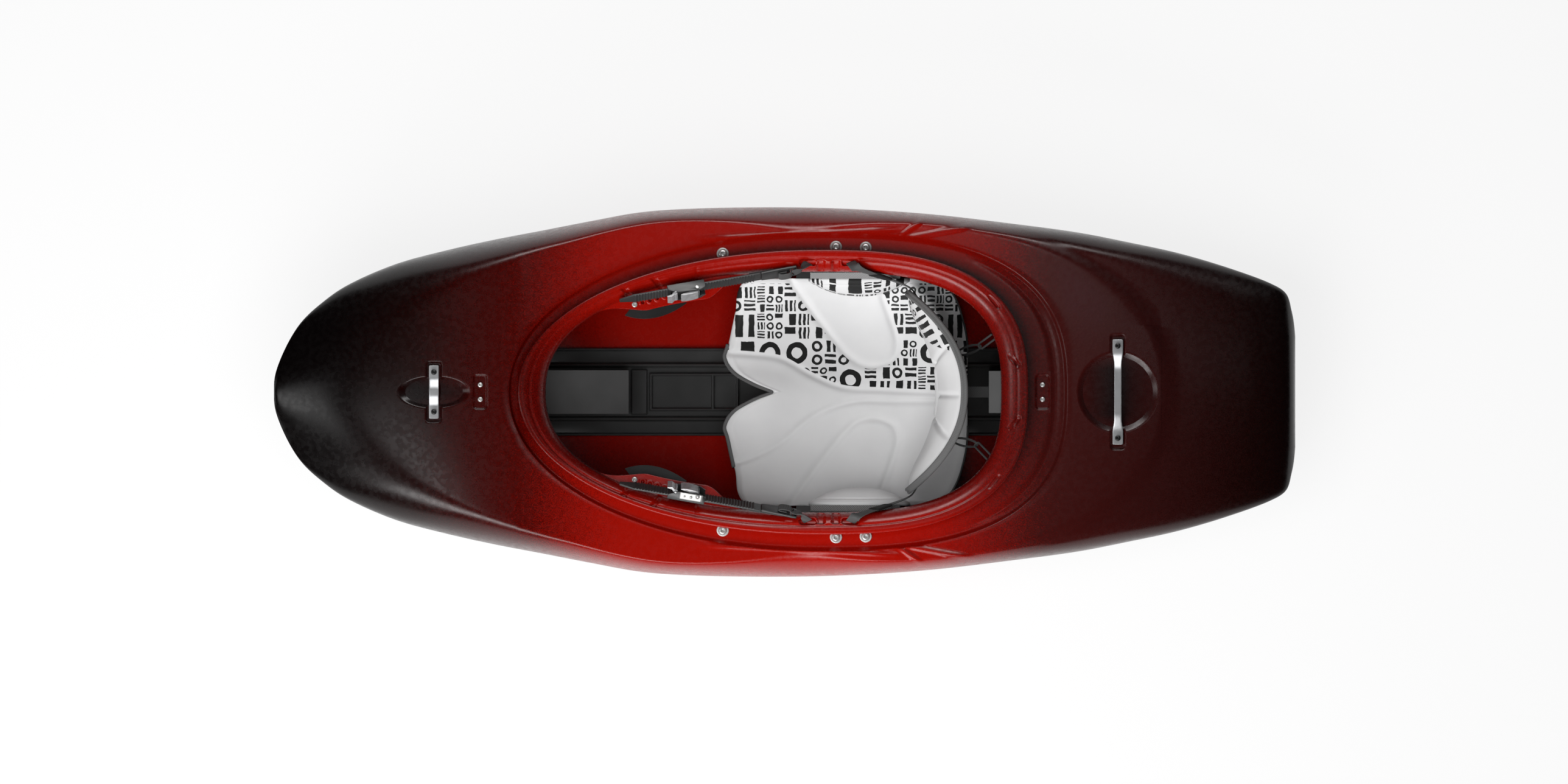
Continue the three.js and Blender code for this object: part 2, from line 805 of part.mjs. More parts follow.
function slotSolid(x, lengthX, lengthY, low, high) {
  const radius = Math.min(lengthX, lengthY) / 4;
  const [hx, hy] = [lengthX / 2, lengthY / 2];
  const plan = new THREE.Shape();
  plan.moveTo(-hx + radius, -hy);
  plan.lineTo(hx - radius, -hy);
  plan.absarc(hx - radius, -hy + radius, radius, -Math.PI / 2, 0);
  plan.absarc(hx - radius, hy - radius, radius, 0, Math.PI / 2);
  plan.absarc(-hx + radius, hy - radius, radius, Math.PI / 2, Math.PI);
  plan.absarc(-hx + radius, -hy + radius, radius, Math.PI, 1.5 * Math.PI);
  const flat = { depth: high - low, bevelEnabled: false, curveSegments: 3 };
  const shape = new THREE.ExtrudeGeometry(plan, flat);
  shape.translate(x, 0, low);
  return toSolid(shape);
}

// How far a handle's bolts stand from the centre line
function boltSide(handle) {
  return handle.length / 2 - handle.boltInset;
}

function handleFloor(handle) {
  return deckCrest(handle.x, boltSide(handle)) - slotDepth;
}

function handleRecess(hull, envelope, handle) {
  const top = deckCrest(handle.x, 0);
  const floor = handleFloor(handle);
  const bowlWidth = boltSide(handle) - handle.bowlToBolt;
  const slotLength = handle.width + 2 * handle.slotSideGap;
  const slotWidth = handle.length + 2 * handle.slotEndGap;
  const backing = bowlSolid(handle.x, top, handle.bowlLength + hullWall, bowlWidth + hullWall,
    handle.bowlDepth + hullWall)
    .add(slotSolid(handle.x, slotLength + 2 * hullWall, slotWidth + 2 * hullWall, floor - hullWall, top));
  return hull.add(backing.intersect(envelope))
    .subtract(bowlSolid(handle.x, top, handle.bowlLength, bowlWidth, handle.bowlDepth))
    .subtract(slotSolid(handle.x, slotLength, slotWidth, floor, top + rimStand));
}

function pillarPadFloor(x) {
  return deckFloorAt(x) - padDepth;
}

// Deck height on the centre line fore or aft of the rim
function deckFloorAt(x) {
  const inChannel = x > saddleFront && x < saddleStern;
  return inChannel ? channelHeight(x) : deckCrest(x, 0);
}

function pillarPad(hull, envelope, x) {
  const floor = pillarPadFloor(x);
  const backing = slotSolid(x, padLengthX + 2 * hullWall, padLengthY + 2 * hullWall,
    floor - hullWall, floor + rimStand);
  return hull.add(backing.intersect(envelope))
    .subtract(slotSolid(x, padLengthX, padLengthY, floor, floor + rimStand));
}

// The rim's place at a station on its side, a given way in from its lip
function rimSide(x, inset) {
  let best = lip[0];
  let place = 0;
  for (let i = 1; i < outlineSteps / 2; i++) {
    if (Math.abs(lip[i].x - x) < Math.abs(best.x - x)) [best, place] = [lip[i], i];
  }
  const next = lip[best.x > x ? place - 1 : place + 1];
  const share = (x - best.x) / (next.x - best.x);
  return best.y + share * (next.y - best.y) - inset;
}

// Side screws stand in the channel, just outside the rim's lip
function sideScrewPlaces() {
  return [frontSideScrewX, wingSideScrewX, wingSideScrewX + wingSideScrewPitch]
    .map((x) => [x, rimSide(x, -sideScrewFromLip)]);
}

function cutRimSides(hull) {
  let cut = hull;
  for (const side of [1, -1]) {
    for (const x of [frontSlotX, rearSlotX]) {
      const y = side * rimSide(x, rimSlotInset);
      const top = rimHeight(x);
      cut = cut.subtract(boxSolid([x - rimSlotLength / 2, y - rimSlotWidth / 2, top - rimStand],
        [x + rimSlotLength / 2, y + rimSlotWidth / 2, top + overrun]));
    }
    for (const shift of [-pocketSpacing / 2, pocketSpacing / 2]) {
      const x = pocketX + shift;
      const y = side * rimSide(x, pocketInset);
      const low = rimHeight(x) + bandShares[1][1] * rimStand - pocketDepth;
      cut = cut.subtract(boxSolid([x - pocketLength / 2, y - pocketWidth / 2, low],
        [x + pocketLength / 2, y + pocketWidth / 2, low + rimStand]));
    }
  }
  return cut;
}

// A hole of few sides, wide enough that its flats clear a round shaft
function holeRadius(shaftRadius) {
  return (shaftRadius + clearance) / Math.cos(Math.PI / holeSteps);
}

function screwHoles() {
  const holes = [];
  for (const side of [1, -1]) {
    for (const [x, y] of sideScrewPlaces()) {
      holes.push([x, side * y, channelHeight(x), sideScrewShaftRadius]);
    }
    for (let i = 0; i < hookHoleCount; i++) {
      const [x, y] = [hookHoleX + i * hookHolePitchX, hookHoleY + i * hookHolePitchY];
      holes.push([x, side * y, hookTop(x), hookHoleRadius - clearance]);
    }
    for (const x of [bowPillarScrewX, sternPillarScrewX]) {
      holes.push([x, side * pillarScrewY, pillarPadFloor(x), pillarScrewShaftRadius]);
    }
    for (const handle of [bowHandle, sternHandle]) {
      holes.push([handle.x, side * boltSide(handle), handleFloor(handle), boltShaftRadius]);
    }
  }
  return holes;
}

function hookTop(x) {
  return rimHeight(x) - rimStand - hookDrop;
}

function buildHull() {
  const envelope = envelopeSolid();
  let hull = shellSolid();
  hull = handleRecess(hull, envelope, bowHandle);
  hull = handleRecess(hull, envelope, sternHandle);
  hull = pillarPad(hull, envelope, bowPillarScrewX);
  hull = pillarPad(hull, envelope, sternPillarScrewX);
  hull = cutRimSides(hull);
  for (const [x, y, height, radius] of screwHoles()) {
    const [low, high] = [height - rimStand, height + rimStand / 2];
    hull = hull.subtract(barSolid(x, y, low, high, holeRadius(radius), holeSteps));
  }
  addPiece("hull_shell", toGeometry(hull), "hull");
}

// Grab handles and their bolts

function handleGeometry(handle) {
  const half = handle.length / 2;
  const foot = handleFootLength;
  const side = new THREE.Shape();
  const ramp = handle.riseHeight * 1.5;
  side.moveTo(-half, 0);
  side.lineTo(-half + foot, 0);
  side.lineTo(-half + foot + ramp, handle.riseHeight);
  side.lineTo(half - foot - ramp, handle.riseHeight);
  side.lineTo(half - foot, 0);
  side.lineTo(half, 0);
  side.lineTo(half, handleThickness);
  side.lineTo(half - foot, handleThickness);
  side.lineTo(half - foot - ramp, handle.riseHeight + handleThickness);
  side.lineTo(-half + foot + ramp, handle.riseHeight + handleThickness);
  side.lineTo(-half + foot, handleThickness);
  side.lineTo(-half, handleThickness);
  const bar = new THREE.ExtrudeGeometry(side, { depth: handle.width, bevelEnabled: false });
  bar.translate(0, 0, -handle.width / 2);
  bar.rotateX(Math.PI / 2);
  bar.rotateZ(Math.PI / 2);
  const outlineBar = waistedPlan(handle);
  const floor = handleFloor(handle) + clearance;
  let solid = toSolid(bar).intersect(toSolid(outlineBar));
  for (const side of [1, -1]) {
    solid = solid.subtract(barSolid(0, side * boltSide(handle), -overrun, handleThickness + overrun,
      boltShaftRadius + clearance));
  }
  const geometry = toGeometry(solid);
  geometry.translate(handle.x, 0, floor);
  return geometry;
}

// Plan of a handle: round ends and a slimmer middle
function waistedPlan(handle) {
  const [half, end, waist] = [handle.length / 2, handle.width / 2, handle.waistWidth / 2];
  const foot = half - handleFootLength;
  const plan = new THREE.Shape();
  plan.moveTo(end, -foot);
  plan.bezierCurveTo(waist, -foot / 2, waist, foot / 2, end, foot);
  plan.lineTo(end, half - end / 2);
  plan.quadraticCurveTo(end, half, end / 2, half);
  plan.lineTo(-end / 2, half);
  plan.quadraticCurveTo(-end, half, -end, half - end / 2);
  plan.lineTo(-end, foot);
  plan.bezierCurveTo(-waist, foot / 2, -waist, -foot / 2, -end, -foot);
  plan.lineTo(-end, -half + end / 2);
  plan.quadraticCurveTo(-end, -half, -end / 2, -half);
  plan.lineTo(end / 2, -half);
  plan.quadraticCurveTo(end, -half, end, -half + end / 2);
  const depth = 2 * (handle.riseHeight + handleThickness) + 2 * overrun;
  const shape = new THREE.ExtrudeGeometry(plan, { depth, bevelEnabled: false, curveSegments: 6 });
  shape.translate(0, 0, -overrun);
  return shape;
}

function boltGeometry() {
  return turned([[0, -boltShaftLength], [boltShaftRadius, -boltShaftLength], [boltShaftRadius, 0],
    [boltHeadRadius, 0], [boltHeadRadius, boltHeadHeight * boltChamferHeightShare],
    [boltHeadRadius * boltTopShare, boltHeadHeight],
    [boltSocketRadius, boltHeadHeight], [boltSocketRadius, boltHeadHeight - boltSocketDepth],
    [0, boltHeadHeight - boltSocketDepth]]);
}

function domedScrew(headRadius, headHeight, shaftRadius, shaftLength) {
  return turned([[0, -shaftLength], [shaftRadius, -shaftLength], [shaftRadius, 0], [headRadius, 0],
    ...domeShares.map(([radius, height]) => [headRadius * radius, headHeight * height]),
    [0, headHeight]], smallSteps);
}

function buildHandles() {
  for (const handle of [bowHandle, sternHandle]) {
    addPiece(`${handle.name}_grab_handle`, handleGeometry(handle), "aluminium");
    for (const [side, y] of [["right", boltSide(handle)], ["left", -boltSide(handle)]]) {
      const bolt = boltGeometry();
      bolt.translate(handle.x, y, handleFloor(handle) + handleThickness + 2 * clearance);
      addPiece(`${handle.name}_handle_bolt_${side}`, bolt, "blackSteel");
    }
  }
}

function buildDeckScrews() {
  for (const [end, x] of [["bow", bowPillarScrewX], ["stern", sternPillarScrewX]]) {
    for (const [side, y] of [["right", pillarScrewY], ["left", -pillarScrewY]]) {
      const screw = domedScrew(pillarScrewHeadRadius, pillarScrewHeadHeight, pillarScrewShaftRadius,
        pillarScrewShaftLength);
      screw.translate(x, y, pillarPadFloor(x) + clearance);
      addPiece(`${end}_pillar_screw_${side}`, screw, "steel");
    }
  }
}

function washerGeometry() {
  const inner = sideScrewShaftRadius + clearance;
  return turned([[inner, 0], [washerRadius, 0], [washerRadius, washerThickness / 2],
    [washerRadius * washerBevelShare, washerThickness], [inner, washerThickness], [inner, 0]], roundSteps);
}

function buildSideScrews() {
  for (const [side, sign] of [["right", 1], ["left", -1]]) {
    sideScrewPlaces().forEach(([x, y], i) => {
      const base = channelHeight(x) + washerRadius * channelSlope(x) + clearance;
      const washer = washerGeometry();
      washer.translate(x, sign * y, base);
      addPiece(`side_washer_${side}_${i + 1}`, washer, "steel");
      const screw = domedScrew(sideScrewHeadRadius, sideScrewHeadHeight, sideScrewShaftRadius,
        sideScrewShaftLength);
      screw.translate(x, sign * y, base + washerThickness + clearance);
      addPiece(`side_screw_${side}_${i + 1}`, screw, "steel");
    });
  }
}

function channelSlope(x) {
  return Math.abs(channelHeight(x + washerRadius) - channelHeight(x)) / washerRadius;
}

// Seat rail

// The floor inside the hull, a little higher where the rocker bends it
function floorHeight(x) {
  return keelHeight(x) + hullWall + railGap + rockerAllowance * smooth(0, hullWall, keelHeight(x));
}

function railSection(x) {
  const base = floorHeight(x);
  const half = [[railHalfWidth, 0], [railHalfWidth, railEdgeHeight],
    [railHalfWidth - railEdgeWidth, railEdgeHeight], [railHalfWidth - railEdgeWidth, railPlate],
    [railRibY + railRibHalfWidth, railPlate], [railRibY + railRibHalfWidth / 2, railRibHeight],
    [railRibY - railRibHalfWidth / 2, railRibHeight], [railRibY - railRibHalfWidth, railPlate]];
  const right = half.map(([y, z]) => new THREE.Vector3(x, y, base + z));
  const left = half.slice().reverse().map(([y, z]) => new THREE.Vector3(x, -y, base + z));
  return [...right, ...left];
}

function buildRail() {
  const sections = stationsBetween(railFront, railBack, railSteps).map(railSection);
  const top = floorHeight(0) + railPlate;
  const foot = top - railPlate / 2;
  const bar = boxSolid([saddleBarX - saddleBarLength / 2, -saddleBarHalfWidth, foot],
    [saddleBarX + saddleBarLength / 2, saddleBarHalfWidth, top + trayHeight]);
  const tray = boxSolid([trayFront, -trayHalfWidth, foot], [trayBack, trayHalfWidth, top + trayHeight]);
  const hollow = boxSolid([trayFront + trayWall, -trayHalfWidth + trayWall, top],
    [trayRibX - trayWall / 2, trayHalfWidth - trayWall, top + trayHeight + overrun]);
  const rearHollow = boxSolid([trayRibX + trayWall / 2, -trayHalfWidth + trayWall, top],
    [trayBack - trayWall, trayHalfWidth - trayWall, top + trayHeight + overrun]);
  const rail = toSolid(ringSolid(sections, true)).add(bar).add(tray.subtract(hollow).subtract(rearHollow));
  addPiece("seat_rail", toGeometry(rail), "rail");
}

// Foam pillars

// Upper face of the rail's plate, which runs straight from one station of the rail to the next
function railTop(x) {
  const at = THREE.MathUtils.clamp((x - railFront) / railStep, 0, railSteps);
  const low = Math.min(Math.floor(at), railSteps - 1);
  const heights = [low, low + 1].map((i) => floorHeight(railFront + i * railStep));
  const onRail = heights[0] + (heights[1] - heights[0]) * (at - low);
  return Math.max(onRail, floorHeight(x)) + railPlate + clearance;
}

function underDeck(x) {
  const inRim = x > rimFront - rimLip && x < rimStern + rimLip;
  return (inRim ? channelHeight(x) : deckFloorAt(x) - padDepth) - hullWall - pillarGap;
}

function pillarGeometry(stations, halfWidth, topOf) {
  const sections = stations.map((x) => {
    const [low, high] = [railTop(x), topOf(x)];
    return [new THREE.Vector3(x, -halfWidth, low), new THREE.Vector3(x, halfWidth, low),
      new THREE.Vector3(x, halfWidth, high), new THREE.Vector3(x, -halfWidth, high)];
  });
  return ringSolid(sections, true);
}

function stationsBetween(from, to, steps) {
  return Array.from({ length: steps + 1 }, (_, i) => from + (to - from) * i / steps);
}

function withScrewHoles(geometry, x) {
  let solid = toSolid(geometry);
  for (const y of [pillarScrewY, -pillarScrewY]) {
    const top = pillarPadFloor(x);
    solid = solid.subtract(barSolid(x, y, top - pillarScrewShaftLength - overrun, top + overrun,
      pillarScrewShaftRadius + clearance));
  }
  return toGeometry(solid);
}

function buildPillars() {
  const tongue = (x) => {
    const share = (x - bowPillarMouth) / (bowPillarTongueEnd - bowPillarMouth);
    return bowPillarTongueTop + (bowPillarTongueTip - bowPillarTongueTop) * share;
  };
  const bowStations = [...stationsBetween(bowPillarFront, bowPillarMouth, 8),
    bowPillarMouth + clearance, ...stationsBetween(bowPillarMouth, bowPillarTongueEnd, 3).slice(1)];
  const bow = pillarGeometry(bowStations, bowPillarHalfWidth,
    (x) => x <= bowPillarMouth ? bowPillarTop(x) : tongue(x));
  addPiece("bow_foam_pillar", withScrewHoles(bow, bowPillarScrewX), "darkFoam");
  const stern = pillarGeometry(stationsBetween(sternPillarFront, sternPillarBack, 8),
    sternPillarHalfWidth, sternPillarTop);
  addPiece("stern_foam_pillar", withScrewHoles(stern, sternPillarScrewX), "darkFoam");
}

function nearHandle(x, handle) {
  return Math.abs(x - handle.x) < handle.bowlLength + 2 * hullWall;
}

function bowPillarTop(x) {
  if (x > rimFront) return rimHeight(x) - 2 * rimStand;
  const under = underDeck(x);
  return nearHandle(x, bowHandle) || x < bowHandle.x ? under - bowHandle.bowlDepth : under;
}

function sternPillarTop(x) {
  if (x < rimStern) return rimHeight(x) - 2 * rimStand;
  const under = underDeck(x);
  return nearHandle(x, sternHandle) || x > sternHandle.x ? under - sternHandle.bowlDepth : under;
}

// Seat

function seatHeight(x, y) {
  const across = Math.abs(y) / seatHalfWidth;
  return seatDip
    + seatFrontRise * smooth(seatFrontFrom, seatFrontTo, x)
    + seatSideRise * Math.pow(across, seatSidePower)
    + seatPommel * Math.exp(-((y / seatPommelWidth) ** 2)) * smooth(seatPommelEnd, -seatPommelWidth, x)
    + seatRearRise * smooth(seatRearFrom, seatBack, x);
}

function seatPlan(u, v, inset) {
  const y = (2 * u - 1) * (seatHalfWidth - inset);
  const across = Math.abs(2 * u - 1);
  const front = seatBack * along(seatFrontShares, across) + inset;
  const back = seatBack * along(seatBackShares, across) - inset;
  return [front + (back - front) * v, y];
}

function distanceToLine(x, y, points) {
  let best = Infinity;
  for (let i = 0; i < points.length - 1; i++) {
    const [ax, ay] = [points[i][0] * seatBack, points[i][1] * seatHalfWidth];
    const [bx, by] = [points[i + 1][0] * seatBack, points[i + 1][1] * seatHalfWidth];
    const length2 = (bx - ax) ** 2 + (by - ay) ** 2;
    const t = THREE.MathUtils.clamp(((x - ax) * (bx - ax) + (y - ay) * (by - ay)) / length2, 0, 1);
    best = Math.min(best, Math.hypot(x - ax - t * (bx - ax), y - ay - t * (by - ay)));
  }
  return best;
}

function channelDip(x, y) {
  const near = Math.min(...channelShares.map((line) => distanceToLine(x, y, line)));
  return channelDepth * Math.exp(-((near / channelHalfWidth) ** 2));
}

function edgeFall(u, v) {
  const edge = Math.min(u, 1 - u) * 2 * seatHalfWidth;
  const end = Math.min(v, 1 - v) * seatBack;
  return roundUp(Math.min(edge, end) / seatEdgeRound);
}

function buildSeat() {
  const pad = sheetSolid(
    (u, v) => {
      const [x, y] = seatPlan(u, v, 0);
      const body = seatFoam * (seatEdgeShare + (1 - seatEdgeShare) * edgeFall(u, v));
      const dip = channelDip(x, y) * edgeFall(u, v);
      return new THREE.Vector3(x, y, seatHeight(x, y) - seatFoam + body - dip);
    },
    (u, v) => {
      const [x, y] = seatPlan(u, v, 0);
      return new THREE.Vector3(x, y, seatHeight(x, y) - seatFoam);
    }, 28, 14);
  addPiece("seat_pad", pad, "paleFoam");
  const pan = sheetSolid(
    (u, v) => {
      const [x, y] = seatPlan(u, v, seatPanInset);
      return new THREE.Vector3(x, y, seatHeight(x, y) - seatDrop);
    },
    (u, v) => {
      const [x, y] = seatPlan(u, v, seatPanInset);
      return new THREE.Vector3(x, y, seatHeight(x, y) - seatDrop - seatPanThickness);
    }, 22, 8);
  addPiece("seat_pan", toGeometry(withWings(toSolid(pan))), "pan");
}

const seatDrop = seatFoam + seatPanGap;

// Inner face of the wings, which stand beside the seat and inside the mouth
const wingSide = Math.max(seatHalfWidth, mouthHalfWidth - wingInsideMouth) + clearance;

function wingSection(x, sign) {
  const inner = wingSide;
  const edge = seatHalfWidth + clearance;
  const root = edge - 2 * seatPanInset;
  const [rootTop, footTop] = [root, edge].map((y) => seatHeight(x, y) - seatDrop);
  const top = channelHeight(x) - hullWall - clearance;
  const t = wingThickness;
  const path = [[root, rootTop - t], [inner + t, footTop - t], [inner + t, wingBend - t / 2],
    [wingFlangeInner, top - t], [wingFlangeOuter, top - t], [wingFlangeOuter, top],
    [wingFlangeInner - t / 2, top], [inner, wingBend + t / 2], [inner, footTop], [root, rootTop]];
  return path.map(([y, z]) => new THREE.Vector3(x, sign * y, z));
}

// A foot of the pan, which stands on a rib of the rail
function footSection(x, y) {
  const low = floorHeight(0) + railRibHeight + clearance;
  const high = seatHeight(x, y) - seatDrop - seatPanThickness / 2;
  const [a, b] = [y - railRibHalfWidth, y + railRibHalfWidth];
  return [[a, low], [b, low], [b, high], [a, high]].map(([side, z]) => new THREE.Vector3(x, side, z));
}

function withWings(pan) {
  let solid = pan;
  const stations = stationsBetween(wingFront, wingBack, 4);
  for (const sign of [1, -1]) {
    const wing = toSolid(ringSolid(stations.map((x) => wingSection(x, sign)), true));
    const foot = toSolid(ringSolid(stations.map((x) => footSection(x, sign * railRibY)), true));
    solid = solid.add(wing).add(foot);
    for (const [x, y] of sideScrewPlaces().slice(1)) {
      solid = solid.subtract(barSolid(x, sign * y, wingBend, channelHeight(x),
        sideScrewShaftRadius + clearance));
    }
  }
  return solid;
}

function hipPadGeometry(sign) {
  const centreX = (hipPadFront + hipPadBack) / 2;
  const centreZ = (hipPadLow + hipPadHigh) / 2;
  const [halfX, halfZ] = [(hipPadBack - hipPadFront) / 2, (hipPadHigh - hipPadLow) / 2];
  const back = wingSide - 2 * clearance;
  const ring = (share, y) => Array.from({ length: hipPadSides }, (_, i) => {
    const angle = 2 * Math.PI * i / hipPadSides;
    return new THREE.Vector3(centreX + share * halfX * signedPower(Math.cos(angle), hipPadPowerX),
      sign * y, centreZ + share * halfZ * signedPower(Math.sin(angle), hipPadPowerZ));
  });
  const crown = (share) =>
    back - hipPadEdge - (hipPadThickness - hipPadEdge) * (1 - share ** hipPadCrownPower);
  const front = hipPadRingShares.map((share) => ring(share, crown(share)));
  return ringSolid([ring(0, back), ring(hipPadBackShare, back), ring(1, back - hipPadEdge / 2), ...front]);
}

// Backband

const bandFootX = bandMiddleX - bandLean;
const bandLow = seatHeight(bandFootX, 0) + clearance;

function bandArc(across) {
  return bandMiddleX - bandSweep * Math.pow(Math.abs(across), bandSweepPower);
}

// A point of the backband: across from -1 to 1, up from 0 to 1, and forward from its shell
function bandPoint(across, up, forward) {
  const low = bandLow + bandSideRise * across ** 2;
  const high = bandHigh - bandSideDrop * across ** 2;
  const lean = bandLean * (1 - across ** 2) * (1 - up);
  const slope = Math.atan2(bandSweep * bandSweepPower * Math.abs(across) ** (bandSweepPower - 1),
    bandHalfWidth) * Math.sign(across);
  return new THREE.Vector3(
    bandArc(across) - lean - forward * Math.cos(slope),
    across * bandHalfWidth - forward * Math.sin(slope),
    low + (high - low) * up);
}

function bandPadDepth(across, up) {
  const side = 1 - bandPadSideLoss * across ** 4;
  return (bandPadTop + bandPadSwell * Math.sin(Math.PI * Math.min(1, bandPadSwellReach * (1 - up)))) * side;
}

function buildBackband() {
  const shell = sheetSolid((u, v) => bandPoint(2 * u - 1, v, bandShell),
    (u, v) => bandPoint(2 * u - 1, v, 0), 18, 4);
  addPiece("backband_shell", shell, "pan");
  const gap = bandShell + clearance * 2;
  const place = (u, v) => [(2 * u - 1) * bandPadWidthShare, bandPadMargin + (1 - 2 * bandPadMargin) * v];
  const inner = (u, v) => {
    const [across, up] = place(u, v);
    const round = roundUp(Math.min(u, 1 - u) * bandPadEndRounding)
      * roundUp(Math.min(v, 1 - v) * bandPadTopRounding);
    const swell = bandPadEdgeShare + (1 - bandPadEdgeShare) * round;
    return bandPoint(across, up, gap + bandPadDepth(across, up) * swell);
  };
  const pad = sheetSolid(inner, (u, v) => bandPoint(...place(u, v), gap), 22, 7);
  addPiece("backband_pad", pad, "paleFoam");
}

// Ladder straps and ratchet buckles, built along the strap and then laid in place

function strapFrame(sign) {
  const u = new THREE.Vector3(strapRunX, sign * strapRunY, strapRunZ).normalize();
  const lean = THREE.MathUtils.degToRad(strapLeanDegrees);
  const out = new THREE.Vector3(0, -sign * Math.sin(lean), Math.cos(lean));
  const n = out.sub(u.clone().multiplyScalar(out.dot(u))).normalize();
  const w = n.clone().cross(u);
  const place = new THREE.Matrix4().makeBasis(u, w, n);
  return place.setPosition(strapTipX, sign * strapTipY, strapTipZ);
}

const strapLength = Math.hypot(strapRunX, strapRunY, strapRunZ);

// Extrudes a side view of strap length and height across the strap's width
function acrossStrap(points, width, from = -width / 2) {
  const side = new THREE.Shape(points.map(([u, n]) => new THREE.Vector2(u, n)));
  const shape = new THREE.ExtrudeGeometry(side, { depth: width, bevelEnabled: false, curveSegments: 6 });
  shape.rotateX(Math.PI / 2);
  shape.translate(0, from + width, 0);
  return toSolid(shape);
}

// A pin hole or a pin across the strap
function crossBar(u, n, width, radius, steps = smallSteps) {
  const bar = new THREE.CylinderGeometry(radius, radius, width, steps);
  bar.translate(u, 0, n);
  return toSolid(bar);
}

function ladderSolid() {
  const points = [[0, 0], [strapLength, 0], [strapLength, strapThickness]];
  const count = Math.floor((strapLength - strapTaper - strapEndMargin) / toothPitch);
  for (let i = count - 1; i >= 0; i--) {
    const start = strapTaper + i * toothPitch;
    points.push([start + toothPitch * toothShare, strapThickness],
      [start + toothPitch * toothShare, strapThickness + toothHeight], [start, strapThickness]);
  }
  points.push([0, strapThickness]);
  const [half, tip] = [strapWidth / 2, strapWidth / 6];
  const plan = new THREE.Shape([[0, -tip], [strapTaper, -half], [strapLength, -half],
    [strapLength, half], [strapTaper, half], [0, tip]].map(([u, w]) => new THREE.Vector2(u, w)));
  const trim = new THREE.ExtrudeGeometry(plan,
    { depth: strapThickness + toothHeight + 2 * overrun, bevelEnabled: false });
  trim.translate(0, 0, -overrun);
  return acrossStrap(points, strapWidth).intersect(toSolid(trim));
}

function strapFrameSolid() {
  const start = strapLength + clearance;
  const end = start + strapFrameLength;
  const half = strapFrameWidth / 2;
  const plan = new THREE.Shape([[start, -strapWidth / 2], [end - half, -half], [end, -half],
    [end, half], [end - half, half], [start, strapWidth / 2]].map(([u, w]) => new THREE.Vector2(u, w)));
  const plate = new THREE.ExtrudeGeometry(plan, { depth: strapFrameThickness, bevelEnabled: false });
  const barEnd = end - strapFrameBar;
  const window = boxSolid([barEnd - strapFrameWindow, -half + strapFrameBar / 2, -overrun],
    [barEnd, half - strapFrameBar / 2, strapFrameThickness + overrun]);
  return toSolid(plate).subtract(window);
}

function buckleBaseSolid(sign) {
  const inner = strapWidth / 2 + 2 * clearance;
  const outer = inner + buckleEar;
  const floor = -clearance - bucklePlate;
  const plate = acrossStrap([[buckleFront, floor], [buckleBack, floor], [buckleBack, -clearance],
    [buckleFront, -clearance]], 2 * outer);
  const earOutline = [[buckleFront, floor], [buckleBack, floor], [buckleBack, leverPivotHeight],
    [leverPivot + leverHub, buckleEarHeight + leverHub / 2],
    [leverPivot - leverHub, buckleEarHeight + leverHub / 2],
    [releasePivot + releaseHub, buckleEarHeight], [buckleFront, leverPivotHeight / 2]];
  let base = plate.add(acrossStrap(earOutline, buckleEar, inner));
  base = base.add(acrossStrap(earOutline, buckleEar, -outer));
  const [near, far] = [-sign * (outer - overrun), -sign * (outer + buckleFoot)];
  base = base.add(boxSolid([buckleFront + buckleFootMargin, Math.min(near, far), floor],
    [buckleBack - buckleFootMargin, Math.max(near, far), -clearance]));
  for (const u of [leverPivot, releasePivot]) {
    base = base.subtract(crossBar(u, leverPivotHeight, 2 * outer + overrun, pinRadius + pinClearance));
  }
  return base;
}

function leverWidth() {
  return strapWidth - clearance * 2;
}

function hubPoints(u, n, radius, from, to) {
  return Array.from({ length: 7 }, (_, i) => {
    const angle = THREE.MathUtils.degToRad(from + (to - from) * i / 6);
    return [u + radius * Math.cos(angle), n + radius * Math.sin(angle)];
  });
}

function leverSolid() {
  const [u, n] = [leverPivot, leverPivotHeight];
  const tip = u - leverLength;
  const points = [...hubPoints(u, n, leverHub, -90, 60), [u, n + leverHub + leverHeight / 3],
    [u - leverLength / 3, n + leverHeight], [tip + leverThickness, n + leverHeight],
    [tip, n + leverHeight - leverThickness / 2], [tip + leverThickness / 2, n + leverHeight - leverThickness],
    [u - leverLength / 3, n + leverHeight - leverThickness - leverHub / 2], [u - leverHub, n]];
  const handle = acrossStrap(points, leverWidth());
  return handle.subtract(crossBar(u, n, leverWidth() + overrun, pinRadius + pinClearance));
}

function pawlSolid() {
  const top = leverPivotHeight - clearance;
  const toothTop = strapThickness + toothHeight + clearance;
  const back = leverPivot - leverHub - clearance;
  return acrossStrap([[back - pawlLength, toothTop], [back - pawlLength / 3, toothTop],
    [back, (toothTop + top) / 2], [back, top], [back - pawlLength, top]], leverWidth() - 4 * clearance);
}

function releaseSolid() {
  const [u, n] = [releasePivot, leverPivotHeight];
  const tip = u - releaseLength;
  const points = [...hubPoints(u, n, releaseHub, -90, 120), [u - releaseLength / 2, n + releaseHeight],
    [tip, n + releaseHeight - leverThickness / 2], [tip, n + releaseHeight - leverThickness],
    [u - releaseLength / 2, n + releaseHeight - leverThickness], [u - releaseHub, n]];
  const stub = crossBar(u, n, leverWidth() + 2 * buckleEar, pinRadius);
  return acrossStrap(points, leverWidth()).add(stub);
}

function pinGeometry() {
  const outer = strapWidth / 2 + 2 * clearance + buckleEar;
  return crossBar(leverPivot, leverPivotHeight, 2 * (outer + clearance + pinHead), pinRadius)
    .add(crossBar(leverPivot, leverPivotHeight, 2 * pinHead, pinRadius + pinHead)
      .translate([0, outer + clearance + pinHead, 0]));
}

